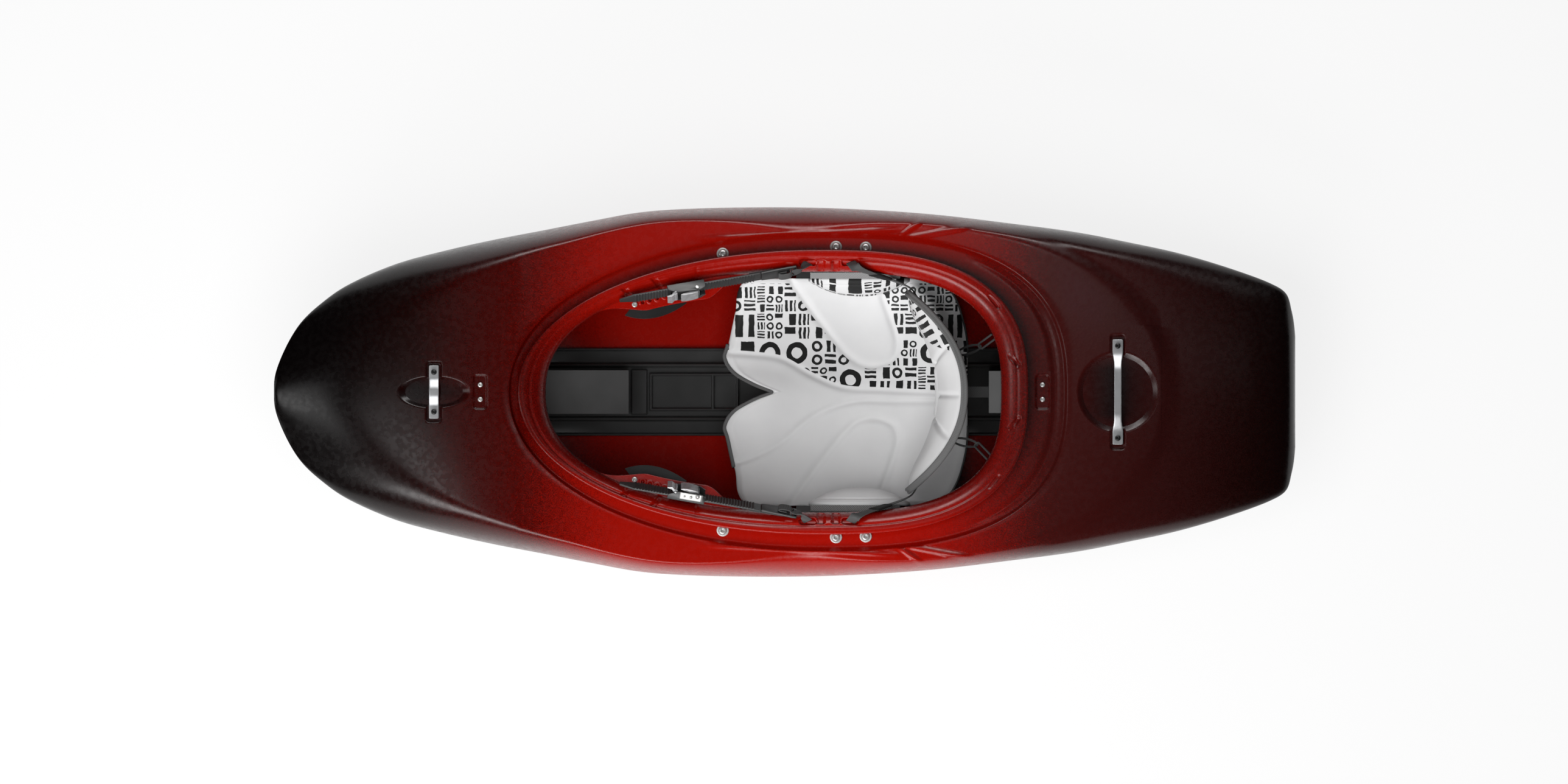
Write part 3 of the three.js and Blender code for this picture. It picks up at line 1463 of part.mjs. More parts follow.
function buildRatchets() {
  for (const [side, sign] of [["right", 1], ["left", -1]]) {
    const place = strapFrame(sign);
    const lay = (name, solid, material) =>
      addPiece(`${name}_${side}`, toGeometry(solid).applyMatrix4(place), material);
    lay("ladder_strap", ladderSolid(), "strap");
    lay("strap_frame", strapFrameSolid(), "strap");
    lay("buckle_base", buckleBaseSolid(sign), "steel");
    lay("ratchet_lever", leverSolid(), "clear");
    lay("drive_pawl", pawlSolid(), "steel");
    lay("release_lever", releaseSolid(), "strap");
    lay("lever_pin", pinGeometry(), "steel");
  }
}

// Thigh brace pads under the hooks

function hookUnder(x) {
  return hookTop(x) - rimLip - 2 * clearance;
}

function bracePlan(sign, top, depth) {
  const plan = new THREE.Shape();
  plan.moveTo(braceFront, braceCorner);
  plan.quadraticCurveTo((braceFront + braceBack) / 2, braceCorner - braceBulge, braceBack, braceEndY);
  plan.lineTo(braceBack, braceOuter);
  plan.lineTo(braceFront + braceBulge, braceOuter - braceBulge);
  const shape = new THREE.ExtrudeGeometry(plan, { depth, bevelEnabled: false, curveSegments: 10 });
  const position = shape.attributes.position;
  for (let i = 0; i < position.count; i++) {
    position.setZ(i, hookUnder(position.getX(i)) - top - depth + position.getZ(i));
    position.setY(i, sign * position.getY(i));
  }
  const bare = new THREE.BufferGeometry().setAttribute("position", position);
  return toSolid(bare);
}

function buildBraces() {
  for (const [side, sign] of [["right", 1], ["left", -1]]) {
    const top = hookUnder(hookHoleX);
    const hole = barSolid(hookHoleX, sign * hookHoleY, top - bracePlate - braceFoam / 2, top + overrun,
      braceScrewShaftRadius + clearance);
    addPiece(`thigh_brace_plate_${side}`, toGeometry(bracePlan(sign, 0, bracePlate).subtract(hole)), "pan");
    const foam = bracePlan(sign, bracePlate + clearance, braceFoam).subtract(hole);
    addPiece(`thigh_brace_foam_${side}`, toGeometry(foam), "darkFoam");
    const screw = domedScrew(braceScrewHeadRadius, braceScrewHeadHeight, braceScrewShaftRadius,
      hookDrop + rimLip + bracePlate);
    screw.translate(hookHoleX, sign * hookHoleY, rimHeight(hookHoleX) - rimStand - 2 * clearance);
    addPiece(`brace_screw_${side}`, screw, "steel");
  }
}

// Webbings

// A flat band through points, its width lying along a direction that turns from one end to the other
function bandSolid(points, widthFrom, widthTo, width, thickness) {
  const curve = new THREE.CatmullRomCurve3(points);
  const sections = [];
  for (let i = 0; i <= webbingSteps; i++) {
    const share = i / webbingSteps;
    const centre = curve.getPointAt(share);
    const ahead = curve.getTangentAt(share);
    const across = widthFrom.clone().lerp(widthTo, share);
    across.sub(ahead.clone().multiplyScalar(across.dot(ahead))).normalize();
    const up = ahead.clone().cross(across);
    const corner = (a, b) => centre.clone().addScaledVector(across, a * width / 2)
      .addScaledVector(up, b * thickness / 2);
    sections.push([corner(-1, -1), corner(1, -1), corner(1, 1), corner(-1, 1)]);
  }
  return ringSolid(sections, true, 2);
}

function strapPoint(sign, u, n) {
  return new THREE.Vector3(u, 0, n).applyMatrix4(strapFrame(sign));
}

function slotPoint(sign, x, seat) {
  const y = sign * rimSide(x, rimSlotInset + seat);
  return new THREE.Vector3(x, y, rimHeight(x) - rimStand * slotDropShare - webbingEndDepth);
}

function buildWebbings() {
  const lengthwise = new THREE.Vector3(1, 0, 0);
  const upright = new THREE.Vector3(0, 0, 1);
  for (const [side, sign] of [["right", 1], ["left", -1]]) {
    const across = new THREE.Vector3().setFromMatrixColumn(strapFrame(sign), 1).multiplyScalar(sign);
    const loopU = strapLength + strapFrameLength - strapFrameBar + clearance;
    const start = strapPoint(sign, loopU, strapFrameThickness + webbingOverFrame);
    const slot = slotPoint(sign, frontSlotX, frontSlotOffset);
    const above = slot.clone().add(new THREE.Vector3(-1, -sign, 1).multiplyScalar(3 * webbingEndDepth));
    const front = bandSolid([start, above, slot], across, lengthwise, webbingWidth, webbingThickness);
    addPiece(`front_webbing_${side}`, front, "webbing");
    const rearSlot = slotPoint(sign, rearSlotX, rearSlotOffset);
    const rise = rearSlot.clone().add(new THREE.Vector3(1, -sign, 1).multiplyScalar(3 * webbingEndDepth));
    const behind = -webbingThickness / 2 - 2 * clearance;
    const knee = bandPoint(sign, rearWebbingUp, behind - rearKneeGap);
    const end = bandPoint(sign * rearWebbingAcross, rearWebbingUp, behind);
    const points = [rearSlot, rise, knee, end];
    const rear = bandSolid(points, lengthwise, upright, webbingWidth, webbingThickness);
    addPiece(`rear_webbing_${side}`, rear, "webbing");
  }
}

// Shock cords behind the backband

const hookHeight = bandHigh - hookDropFromTop;

// Where the stern edge of the mouth crosses a side place
function mouthSternAt(y) {
  const stern = mouth.filter((point) => point.x > rimMiddle);
  const below = stern.filter((point) => point.y <= y).reduce((a, b) => (b.y > a.y ? b : a));
  const above = stern.filter((point) => point.y > y).reduce((a, b) => (b.y < a.y ? b : a));
  return below.x + (above.x - below.x) * (y - below.y) / (above.y - below.y);
}

// A cord ends under the edge of the mouth, where it is tied
function cordEnd(y) {
  const x = mouthSternAt(y);
  return new THREE.Vector3(x + cordRadius, y, rimHeight(x) - rimStand - rimLip - cordRadius + clearance);
}

// The shell's rear face at a side place, taken over the height of a hook
function behindShell(y) {
  const across = y / bandHalfWidth;
  const low = bandLow + bandSideRise * across ** 2;
  const high = bandHigh - bandSideDrop * across ** 2;
  const back = (z) => bandPoint(across, (z - low) / (high - low), 0).x;
  return Math.max(back(hookHeight), back(hookHeight + hookThickness)) + clearance;
}

function hookGeometry(from, mid, low) {
  const length = Math.hypot(mid[0] - from[0], mid[1] - from[1]);
  const outer = new THREE.Shape();
  outer.absellipse(length / 2, 0, length / 2, hookWidth / 2, 0, 2 * Math.PI);
  const eye = new THREE.Path();
  const [eyeLength, eyeWidth] = [length / 2 - hookRingBar, hookWidth / 2 - hookRingBar];
  eye.absellipse(length / 2, 0, eyeLength, eyeWidth, 0, 2 * Math.PI, true);
  outer.holes.push(eye);
  const flat = { depth: hookThickness, bevelEnabled: false, curveSegments: 8 };
  const ring = new THREE.ExtrudeGeometry(outer, flat);
  ring.rotateZ(Math.atan2(mid[1] - from[1], mid[0] - from[0]));
  ring.translate(from[0], from[1], low);
  return toGeometry(toSolid(ring));
}

function buildCords() {
  const section = new THREE.Shape();
  section.absarc(0, 0, cordRadius, 0, 2 * Math.PI);
  for (const { side, y, mid, endY } of cordPlaces) {
    const from = [behindShell(y), y];
    addPiece(`cord_hook_${side}`, hookGeometry(from, mid, hookHeight), "pan");
    const start = new THREE.Vector3(mid[0] - hookRingBar / 2, mid[1],
      hookHeight + hookThickness + cordRadius);
    const path = new THREE.LineCurve3(start, cordEnd(endY));
    const sweep = { steps: 6, extrudePath: path, curveSegments: cordSides / 2 };
    const tube = new THREE.ExtrudeGeometry(section, sweep);
    addPiece(`shock_cord_${side}`, toGeometry(toSolid(tube)), "cord");
  }
}

buildHull();
buildHandles();
buildDeckScrews();
buildSideScrews();
buildRail();
buildPillars();
buildSeat();
for (const [side, sign] of [["right", 1], ["left", -1]]) {
  addPiece(`hip_pad_${side}`, hipPadGeometry(sign), "paleFoam");
}
buildBackband();
buildRatchets();
buildBraces();
buildWebbings();
buildCords();

export default boat;
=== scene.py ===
# %% [markdown]
# # A whitewater playboat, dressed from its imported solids
#
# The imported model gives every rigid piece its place. This lesson keeps those places and gives each
# piece the shape and the finish that the eye expects: a moulded shell with soft edges, pressed foam,
# woven tape, stainless screws and clear levers. Work goes from the camera to the big shell, then to
# the smaller pieces, and each surface gets a material named for what it is made of.

# %% Load the frame and keep its box
import math

import bmesh
import bpy
import numpy as np
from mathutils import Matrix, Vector
from mathutils.bvhtree import BVHTree


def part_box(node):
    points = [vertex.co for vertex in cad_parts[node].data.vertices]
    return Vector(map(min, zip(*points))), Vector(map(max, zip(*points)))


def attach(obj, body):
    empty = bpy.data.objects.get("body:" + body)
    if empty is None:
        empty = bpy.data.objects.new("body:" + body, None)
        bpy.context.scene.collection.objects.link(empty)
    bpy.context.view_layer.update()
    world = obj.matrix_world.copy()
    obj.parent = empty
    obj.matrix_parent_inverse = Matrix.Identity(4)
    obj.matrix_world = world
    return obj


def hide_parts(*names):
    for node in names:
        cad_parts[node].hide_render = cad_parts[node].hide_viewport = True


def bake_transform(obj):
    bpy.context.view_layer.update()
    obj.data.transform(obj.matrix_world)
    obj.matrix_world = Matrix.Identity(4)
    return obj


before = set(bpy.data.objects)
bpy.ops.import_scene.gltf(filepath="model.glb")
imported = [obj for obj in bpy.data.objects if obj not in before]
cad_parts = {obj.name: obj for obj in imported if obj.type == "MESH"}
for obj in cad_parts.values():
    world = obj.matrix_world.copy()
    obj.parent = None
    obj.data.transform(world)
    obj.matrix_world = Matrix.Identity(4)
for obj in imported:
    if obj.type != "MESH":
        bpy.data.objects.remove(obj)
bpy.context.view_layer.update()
MM = 0.001

# %% [markdown]
# ## The camera
#
# The boat is seen from straight above, with no sign of perspective: both ends of the cockpit show as
# much wall. A parallel camera shows that view, and one pixel of the photograph is then the same number
# of millimetres everywhere. The alternative, a long lens far away, gives almost the same picture.

# %% Look straight down
PHOTO_WIDTH = 2576
MM_PER_PIXEL = 1.043
VIEW_SHIFT = -1.0
CAMERA_HEIGHT = 6.0

camera_data = bpy.data.cameras.new("top_camera")
camera_data.type = "ORTHO"
camera_data.ortho_scale = PHOTO_WIDTH * MM_PER_PIXEL * MM
camera = bpy.data.objects.new("top_camera", camera_data)
camera.location = (VIEW_SHIFT * MM, 0, CAMERA_HEIGHT)
bpy.context.scene.collection.objects.link(camera)
bpy.context.scene.camera = camera
print("the view is", round(camera_data.ortho_scale, 3), "m wide")

# %% [markdown]
# ## Light and floor
#
# A long soft box stands to port and a small one ahead of the bow. A wide fill box hangs above them and
# lights the cockpit. Flat decks would mirror that one as a grey haze, so it gives no reflections. The
# streaks on the glossy hull come from three more boxes that are only mirrored: a long one to starboard
# and small ones over bow and stern. One large lamp would be simpler, but it can't place streaks and
# fill apart. The sky is nearly black, since a deep red stays deep only with darkness to reflect.

# %% Soft boxes, a dim sky and the view settings
# Each box has a name, a place and a size in metres, and a power in watts
LIT_BOXES = [("port_box", (-0.9, -2.4, 1.9), (2.6, 0.8), 60),
             ("bow_box", (-3.0, -0.5, 2.4), (1.0, 1.4), 14)]
FILL_BOX = ("overhead_fill_box", (-0.5, -0.9, 3.1), (2.6, 2.4), 92)
STREAK_BOXES = [("starboard_streak", (0.1, 2.5, 1.9), (2.8, 0.8), 60),
                ("bow_streak", (-1.25, -0.42, 3.1), (0.36, 0.3), 2.8),
                ("stern_streak", (0.72, 0.6, 3.1), (0.5, 0.3), 2.4)]
AIMED_AT = (0, 0, 0.25)
SKY_COLOR = (0.02, 0.02, 0.021, 1)


def soft_box(name, place, size, power):
    lamp = bpy.data.lights.new(name, "AREA")
    lamp.shape = "RECTANGLE"
    lamp.size, lamp.size_y = size
    lamp.energy = power
    box = bpy.data.objects.new(name, lamp)
    box.location = place
    box.rotation_euler = (Vector(AIMED_AT) - Vector(place)).to_track_quat("-Z", "Y").to_euler()
    bpy.context.scene.collection.objects.link(box)
    return box


for lit in LIT_BOXES:
    soft_box(*lit)
fill_box = soft_box(*FILL_BOX)
fill_box.visible_glossy = False
fill_box.data.cycles.use_multiple_importance_sampling = False
for streak in STREAK_BOXES:
    soft_box(*streak).visible_diffuse = False
bpy.context.scene.view_settings.view_transform = "Standard"
sky = bpy.data.worlds.new("dim_sky")
sky.use_nodes = True
sky.node_tree.nodes["Background"].inputs["Color"].default_value = SKY_COLOR
bpy.context.scene.world = sky

# %% [markdown]
# ## Helpers for materials
#
# Colours are written as sRGB hex values, the way a colour picker shows them, and one function turns
# them into the linear values that Blender computes with. A second function adds a node, sets it and
# links it. The rest name the steps that nearly every finish repeats: noise of a given size, a mix of
# two colours, a bump of a given depth. A material then reads as a list of what its surface does.

# %% Colour and node helpers
def linear(code, alpha=1.0):
    # The sRGB curve is a straight line near black and a power above that
    parts = [int(code[i:i + 2], 16) / 255 for i in (1, 3, 5)]
    return (*[p / 12.92 if p <= 0.04045 else ((p + 0.055) / 1.055) ** 2.4 for p in parts], alpha)


def add(tree, kind, inputs=None, **settings):
    made = tree.nodes.new(kind)
    for name, value in settings.items():
        setattr(made, name, value)
    for name, value in (inputs or {}).items():
        if isinstance(value, bpy.types.NodeSocket):
            tree.links.new(value, made.inputs[name])
        else:
            made.inputs[name].default_value = value
    return made


def new_material(name, color, roughness, metallic=0.0, **more):
    material = bpy.data.materials.new(name)
    material.use_nodes = True
    tree = material.node_tree
    shader = tree.nodes["Principled BSDF"]
    shader.inputs["Base Color"].default_value = linear(color)
    shader.inputs["Roughness"].default_value = roughness
    shader.inputs["Metallic"].default_value = metallic
    for socket, value in more.items():
        shader.inputs[socket.replace("_", " ")].default_value = value
    return material, tree, shader


print("linear value of #8B0A00:", [round(v, 4) for v in linear("#8B0A00")])


# %% Steps that most finishes share
def object_place(tree):
    return add(tree, "ShaderNodeTexCoord").outputs["Object"]


def arith(tree, operation, *values):
    return add(tree, "ShaderNodeMath", dict(enumerate(values)), operation=operation).outputs[0]


def noise(tree, place, size, detail=2.0):
    inputs = {"Vector": place, "Scale": 1 / (size * MM), "Detail": detail}
    return add(tree, "ShaderNodeTexNoise", inputs).outputs[0]


def mix_colors(tree, share, first, second):
    return add(tree, "ShaderNodeMix", {0: share, 6: first, 7: second}, data_type="RGBA").outputs[2]


def in_range(tree, value, to, span=(0.0, 1.0)):
    inputs = {0: value, 1: span[0], 2: span[1], 3: to[0], 4: to[1]}
    return add(tree, "ShaderNodeMapRange", inputs).outputs[0]


def bump(tree, height, strength, depth, under=None):
    inputs = {"Height": height, "Strength": strength, "Distance": depth * MM}
    if under:
        inputs["Normal"] = under
    return add(tree, "ShaderNodeBump", inputs).outputs[0]


def drive(tree, shader, **sources):
    for name, source in sources.items():
        tree.links.new(source, shader.inputs[name.replace("_", " ")])


print("node helpers ready")

# %% [markdown]
# The pale floor is painted board. Its colour alone would render a little grey under these lamps, so the
# camera, mirrors and clear plastic see part of it as white paper. The rest stays a lit surface, which
# keeps the shadow of the boat.

# %% The floor
FLOOR_HALF = 9.0
FLOOR_GAP = 1.0
FLOOR_WHITE_SHARE = 0.85

floor_mesh = bpy.data.meshes.new("studio_floor")
floor_mesh.from_pydata([(sx * FLOOR_HALF, sy * FLOOR_HALF, -FLOOR_GAP * MM)
                        for sx, sy in ((-1, -1), (1, -1), (1, 1), (-1, 1))], [], [(0, 1, 2, 3)])
floor = bpy.data.objects.new("studio_floor", floor_mesh)
bpy.context.scene.collection.objects.link(floor)
paper, tree, shader = new_material("painted_floor_board", "#F4F4F4", 0.9)
rays = add(tree, "ShaderNodeLightPath").outputs
seen = arith(tree, "MAXIMUM", rays["Is Camera Ray"], rays["Is Glossy Ray"])
seen = arith(tree, "MAXIMUM", seen, rays["Is Transmission Ray"])
share = arith(tree, "MULTIPLY", seen, FLOOR_WHITE_SHARE)
white = add(tree, "ShaderNodeEmission", {"Color": (1, 1, 1, 1), "Strength": 1.0}).outputs[0]
mixed = add(tree, "ShaderNodeMixShader", {0: share, 1: shader.outputs[0], 2: white}).outputs[0]
tree.links.new(mixed, tree.nodes["Material Output"].inputs["Surface"])
floor_mesh.materials.append(paper)
print("floor", 2 * FLOOR_HALF, "m wide, just under the boat")

# %% [markdown]
# ## The hull's lines
#
# A rotomoulded boat has one skin that turns from the bottom over the deck into the cockpit rim. Its
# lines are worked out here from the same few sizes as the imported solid: an outline seen from above,
# ovals for the rim, the mouth and the saddle line, and heights along the length. Modelling the skin
# by hand with a subdivision cage would be the usual way, but lines worked out from sizes can be made
# as fine as a highlight on a glossy surface needs.

# %% Sizes of the hull, in millimetres
HALF_LENGTH, HALF_BEAM, WALL = 875.0, 316.5, 6.0
OUTLINE_SHARES = [
    (-1, 0), (-0.995, 0.12), (-0.95, 0.366), (-0.903, 0.49), (-0.855, 0.58), (-0.759, 0.695),
    (-0.664, 0.766), (-0.568, 0.825), (-0.473, 0.875), (-0.378, 0.926), (-0.282, 0.973),
    (-0.187, 0.992), (0, 1), (0.146, 0.989), (0.289, 0.962), (0.433, 0.916), (0.576, 0.863),
    (0.671, 0.812), (0.767, 0.755), (0.862, 0.679), (0.952, 0.588), (0.98, 0.54), (0.993, 0.44),
    (1, 0.3), (1, 0)]
LEAST_BEAM_SHARE = 0.05
SHOULDER_SHARES = [(-1, 0.4), (-0.7, 0.46), (-0.45, 0.26), (-0.3, 0.15), (0, 0.14), (0.3, 0.17),
                   (0.55, 0.32), (0.8, 0.34), (0.93, 0.24), (1, 0.09)]
FLAT_FRONT, FLAT_STERN = 300.0, 330.0
BOW_ROCKER, STERN_ROCKER = (212.0, 2.0), (150.0, 1.8)
SEAM_MID, SEAM_BOW, SEAM_STERN = 165.0, 238.0, 166.0
NOSE_DROP, TAIL_DROP, DECK_CROWN = 45.0, 14.0, 26.0
RIM_FRONT, RIM_STERN, RIM_MIDDLE, RIM_HALF, RIM_POWERS = -457.0, 418.0, 60.0, 244.0, (2.05, 2.7)
MOUTH_FRONT, MOUTH_STERN, MOUTH_HALF, MOUTH_POWERS = -409.0, 371.0, 206.0, (2.3, 2.8)
SADDLE_FRONT, SADDLE_STERN, SADDLE_HALF, SADDLE_STEP, SADDLE_EDGE = -473.0, 486.0, 273.0, 7.0, 8.0
RIM_TOP, RIM_DROP, RIM_DROP_POWER, RIM_STAND = 330.0, 58.0, 0.8, 32.0
TAIL_MIDDLE, TAIL_REACH, TAIL_HALF, TAIL_POWER, TAIL_STEP = 200.0, 452.0, 285.0, 2.2, 6.0
TAIL_EDGE_SHARES = (0.98, 1.05)
BOW_HANDLE_X, STERN_HANDLE_X = -601.0, 571.0
OVAL_STEPS, LINE_STEPS = 1600, 60
ROUND = 960
HALF_ROUND = ROUND // 2


# %% Curves: smooth tables, even spacing and ovals
def along(table, at):
    xs, ys = np.array(table, float).T
    at = np.clip(np.asarray(at, float), xs[0], xs[-1])
    i = np.clip(np.searchsorted(xs, at, side="right") - 1, 0, len(xs) - 2)
    before, after = np.maximum(i - 1, 0), np.minimum(i + 2, len(xs) - 1)
    run = xs[i + 1] - xs[i]
    t = (at - xs[i]) / run
    m0 = (ys[i + 1] - ys[before]) / (xs[i + 1] - xs[before]) * run
    m1 = (ys[after] - ys[i]) / (xs[after] - xs[i]) * run
    return ((2 * t**3 - 3 * t**2 + 1) * ys[i] + (t**3 - 2 * t**2 + t) * m0
            + (3 * t**2 - 2 * t**3) * ys[i + 1] + (t**3 - t**2) * m1)


def smooth(low, high, value):
    t = np.clip((np.asarray(value, float) - low) / (high - low), 0, 1)
    return t * t * (3 - 2 * t)


def rounded_line(points, steps):
    points = [np.array(p, float) for p in points]
    out = []
    for p0, p1, p2, p3 in zip(points, points[1:], points[2:], points[3:]):
        d0, d1, d2 = [max(np.linalg.norm(b - a) ** 0.5, 1e-6) for a, b in ((p0, p1), (p1, p2), (p2, p3))]
        t1 = ((p1 - p0) / d0 - (p2 - p0) / (d0 + d1) + (p2 - p1) / d1) * d1
        t2 = ((p2 - p1) / d1 - (p3 - p1) / (d1 + d2) + (p3 - p2) / d2) * d1
        t = np.linspace(0, 1, steps, endpoint=False)[:, None]
        out.append((2 * t**3 - 3 * t**2 + 1) * p1 + (t**3 - 2 * t**2 + t) * t1
                   + (3 * t**2 - 2 * t**3) * p2 + (t**3 - t**2) * t2)
    return np.vstack([*out, points[-2][None]])


def even(points, steps):
    lengths = np.concatenate([[0], np.cumsum(np.linalg.norm(np.diff(points, axis=0), axis=1))])
    at = np.linspace(0, lengths[-1], steps + 1)
    return np.column_stack([np.interp(at, lengths, points[:, k]) for k in range(points.shape[1])])


def mirrored(half):
    return np.vstack([half, half[-2:0:-1] * (1, -1)])


def oval(front, stern, half_width, powers):
    angle = np.linspace(0, np.pi, OVAL_STEPS)
    power = np.where(angle < np.pi / 2, *powers)
    reach = np.where(angle < np.pi / 2, RIM_MIDDLE - front, stern - RIM_MIDDLE)
    cos, sin = np.cos(angle), np.clip(np.sin(angle), 0, 1)
    x = RIM_MIDDLE - reach * np.sign(cos) * np.abs(cos) ** (2 / power)
    return mirrored(even(np.column_stack([x, half_width * sin ** (2 / power)]), HALF_ROUND))


def boat_outline():
    ends = [[(x, -y) for x, y in part] for part in (OUTLINE_SHARES[2:0:-1], OUTLINE_SHARES[-2:-4:-1])]
    line = rounded_line([*ends[0], *OUTLINE_SHARES, *ends[1]], LINE_STEPS) * (HALF_LENGTH, HALF_BEAM)
    line = line[line[:, 1] > 0]
    line[:, 0] = np.clip(line[:, 0], -HALF_LENGTH, HALF_LENGTH)
    return mirrored(even(np.vstack([[(-HALF_LENGTH, 0)], line, [(HALF_LENGTH, 0)]]), HALF_ROUND))


outline = boat_outline()
lip = oval(RIM_FRONT, RIM_STERN, RIM_HALF, RIM_POWERS)
mouth = oval(MOUTH_FRONT, MOUTH_STERN, MOUTH_HALF, MOUTH_POWERS)
saddle = oval(SADDLE_FRONT, SADDLE_STERN, SADDLE_HALF, RIM_POWERS)
print("widest place", round(float(outline[:, 1].max()), 1), "mm from the centre line")


# %% Heights along the boat
def keel_height(x):
    bow = np.clip((-FLAT_FRONT - x) / (HALF_LENGTH - FLAT_FRONT), 0, 1)
    stern = np.clip((x - FLAT_STERN) / (HALF_LENGTH - FLAT_STERN), 0, 1)
    return BOW_ROCKER[0] * bow ** BOW_ROCKER[1] + STERN_ROCKER[0] * stern ** STERN_ROCKER[1]


def seam_height(x):
    end = np.where(x < 0, SEAM_BOW, SEAM_STERN)
    return SEAM_MID + (end - SEAM_MID) * (x / HALF_LENGTH) ** 2


def rim_height(x):
    travel = np.clip((x - RIM_FRONT) / (RIM_STERN - RIM_FRONT), 0, None)
    return RIM_TOP - RIM_DROP * travel ** RIM_DROP_POWER


def channel_height(x):
    return rim_height(x) - RIM_STAND


def half_beam_at(x):
    return HALF_BEAM * np.maximum(LEAST_BEAM_SHARE, along(OUTLINE_SHARES[:-1], x / HALF_LENGTH))


def tail_saddle(x, y):
    radius = ((np.abs(y) / TAIL_HALF) ** TAIL_POWER
              + (np.clip(x - TAIL_MIDDLE, 0, None) / TAIL_REACH) ** TAIL_POWER) ** (1 / TAIL_POWER)
    return -TAIL_STEP * smooth(*TAIL_EDGE_SHARES, radius) * smooth(RIM_MIDDLE, SADDLE_STERN, x)


def deck_crest(x, y):
    height = channel_height(x) + SADDLE_STEP
    nose = np.clip(SADDLE_FRONT - x, 0, None) / (HALF_LENGTH + SADDLE_FRONT)
    tail = np.clip(x - SADDLE_STERN, 0, None) / (HALF_LENGTH - SADDLE_STERN)
    height = height - NOSE_DROP * nose ** 2
    height = height - TAIL_DROP * tail ** 2
    away = np.where(x < 0, smooth(-SADDLE_FRONT, HALF_LENGTH, -x), smooth(RIM_STERN, HALF_LENGTH, x))
    height = height - DECK_CROWN * away * np.minimum(1, np.abs(y) / half_beam_at(x)) ** 2
    return height + tail_saddle(x, y)


def round_up(share):
    return np.sqrt(1 - (1 - np.clip(share, 0, 1)) ** 2)


heights = [round(float(deck_crest(x, 0.0)), 1) for x in (BOW_HANDLE_X, STERN_HANDLE_X)]
print("deck at the bow and stern handles:", heights)

# %% [markdown]
# ## The shell in rings
#
# The skin is laid as closed rings, each with the same number of points, from the centre line of the
# bottom outwards, over the deck, down into the groove that holds a spray deck, round the lip of the
# rim, down its band to the mouth, and back inside as the second face of the moulded wall. Rings close
# up where the real shape bends tightly: at the shoulder, the lip and the edge of the thigh hooks.

# %% Rings of the bottom and the deck
BOTTOM_CURVE = [(70, 0), (52, 0.08), (30, 0.28), (4, 0.65), (0, 1)]
BOTTOM_GUIDE, BOTTOM_STEPS, FLOOR_SHARES = (0, 1.4), 4, (0, 0.25, 0.5, 0.75)
# Each ridge has its two ends, half its width and its rise
RIDGES = [(-150, 262, 200, 279, 7, 2.6), (196, 266, 238, 296, 7, 3.2), (200, 262, 328, 286, 8, 3.0)]
RIDGE_RUN_OUT, RIDGE_END_SHARE = 6, 0.1
INNER_DECK_RUN = 3


def drawn_in(ring, inset):
    return ring * (1 - inset / HALF_LENGTH, 1 - inset / HALF_BEAM)


def lifted(ring, height):
    return np.column_stack([ring, height])


def bottom_rows(wall):
    rows = []
    table = rounded_line([BOTTOM_CURVE[0], *BOTTOM_CURVE, BOTTOM_GUIDE], BOTTOM_STEPS)
    for across in FLOOR_SHARES:
        flat = drawn_in(outline, BOTTOM_CURVE[0][0] + wall)
        rows.append(lifted(flat * (1, across), keel_height(flat[:, 0]) + wall))
    for inset, rise in table:
        flat = drawn_in(outline, inset + wall)
        low = keel_height(flat[:, 0]) + wall
        rows.append(lifted(flat, low + min(rise, 1) * (seam_height(flat[:, 0]) - low)))
    return rows


def line_distance(x, y, a, b):
    run = np.array(b, float) - a
    t = np.clip(((x - a[0]) * run[0] + (y - a[1]) * run[1]) / run.dot(run), 0, 1)
    return np.hypot(x - a[0] - t * run[0], y - a[1] - t * run[1]), t


def ridge_height(x, y):
    height = np.zeros(np.shape(x))
    for ax, ay, bx, by, half, rise in RIDGES:
        away, t = line_distance(x, np.abs(y), (ax, ay), (bx, by))
        ends = np.minimum(1, RIDGE_RUN_OUT * np.minimum(t, 1 - t) + RIDGE_END_SHARE)
        height = np.maximum(height, rise * ends * (1 - smooth(0, 1, away / half)))
    return height


def deck_row(share, wall=0.0):
    flat = drawn_in(outline, wall) * (1 - share) + saddle * share
    outer = outline * (1 - share) + saddle * share
    x, y = outer.T
    width = HALF_BEAM * along(SHOULDER_SHARES, x / HALF_LENGTH)
    rise = round_up(np.linalg.norm(outer - outline, axis=1) / width)
    seam = seam_height(x)
    inner = wall * round_up(INNER_DECK_RUN * share)
    ridge = ridge_height(x, y) * (wall == 0)
    return lifted(flat, seam + (deck_crest(x, y) - seam) * rise - inner + ridge)


# %% Rings of the rim's lip
RIM_OVERHANG, RIM_LIP = 12.0, 5.0
# The lip's section as places in from its edge and heights above its crown
LIP_SECTION = [
    (8, -31.8), (10.5, -30.8), (11.7, -28.6), (12, -25), (12, -12), (12, -7), (11, -5.5), (8, -5.2), (3, -5),
    (1, -4.6), (0.2, -3.6), (0, -2.6), (0.3, -1.5), (1.2, -0.5), (2.6, 0.1), (4.4, 0.3), (6.5, 0.2), (9, 0)]
LIP_END = LIP_SECTION[-1][0]


def between(ring, other, inset):
    gap = other - ring
    width = np.linalg.norm(gap, axis=1)[:, None]
    return ring + gap * (np.asarray(inset).reshape(-1, 1) / width)


def band_width():
    return np.linalg.norm(mouth - lip, axis=1)


def rim_row(inset, drop):
    flat = between(lip, mouth, np.broadcast_to(inset, ROUND))
    return lifted(flat, rim_height(flat[:, 0]) + drop)


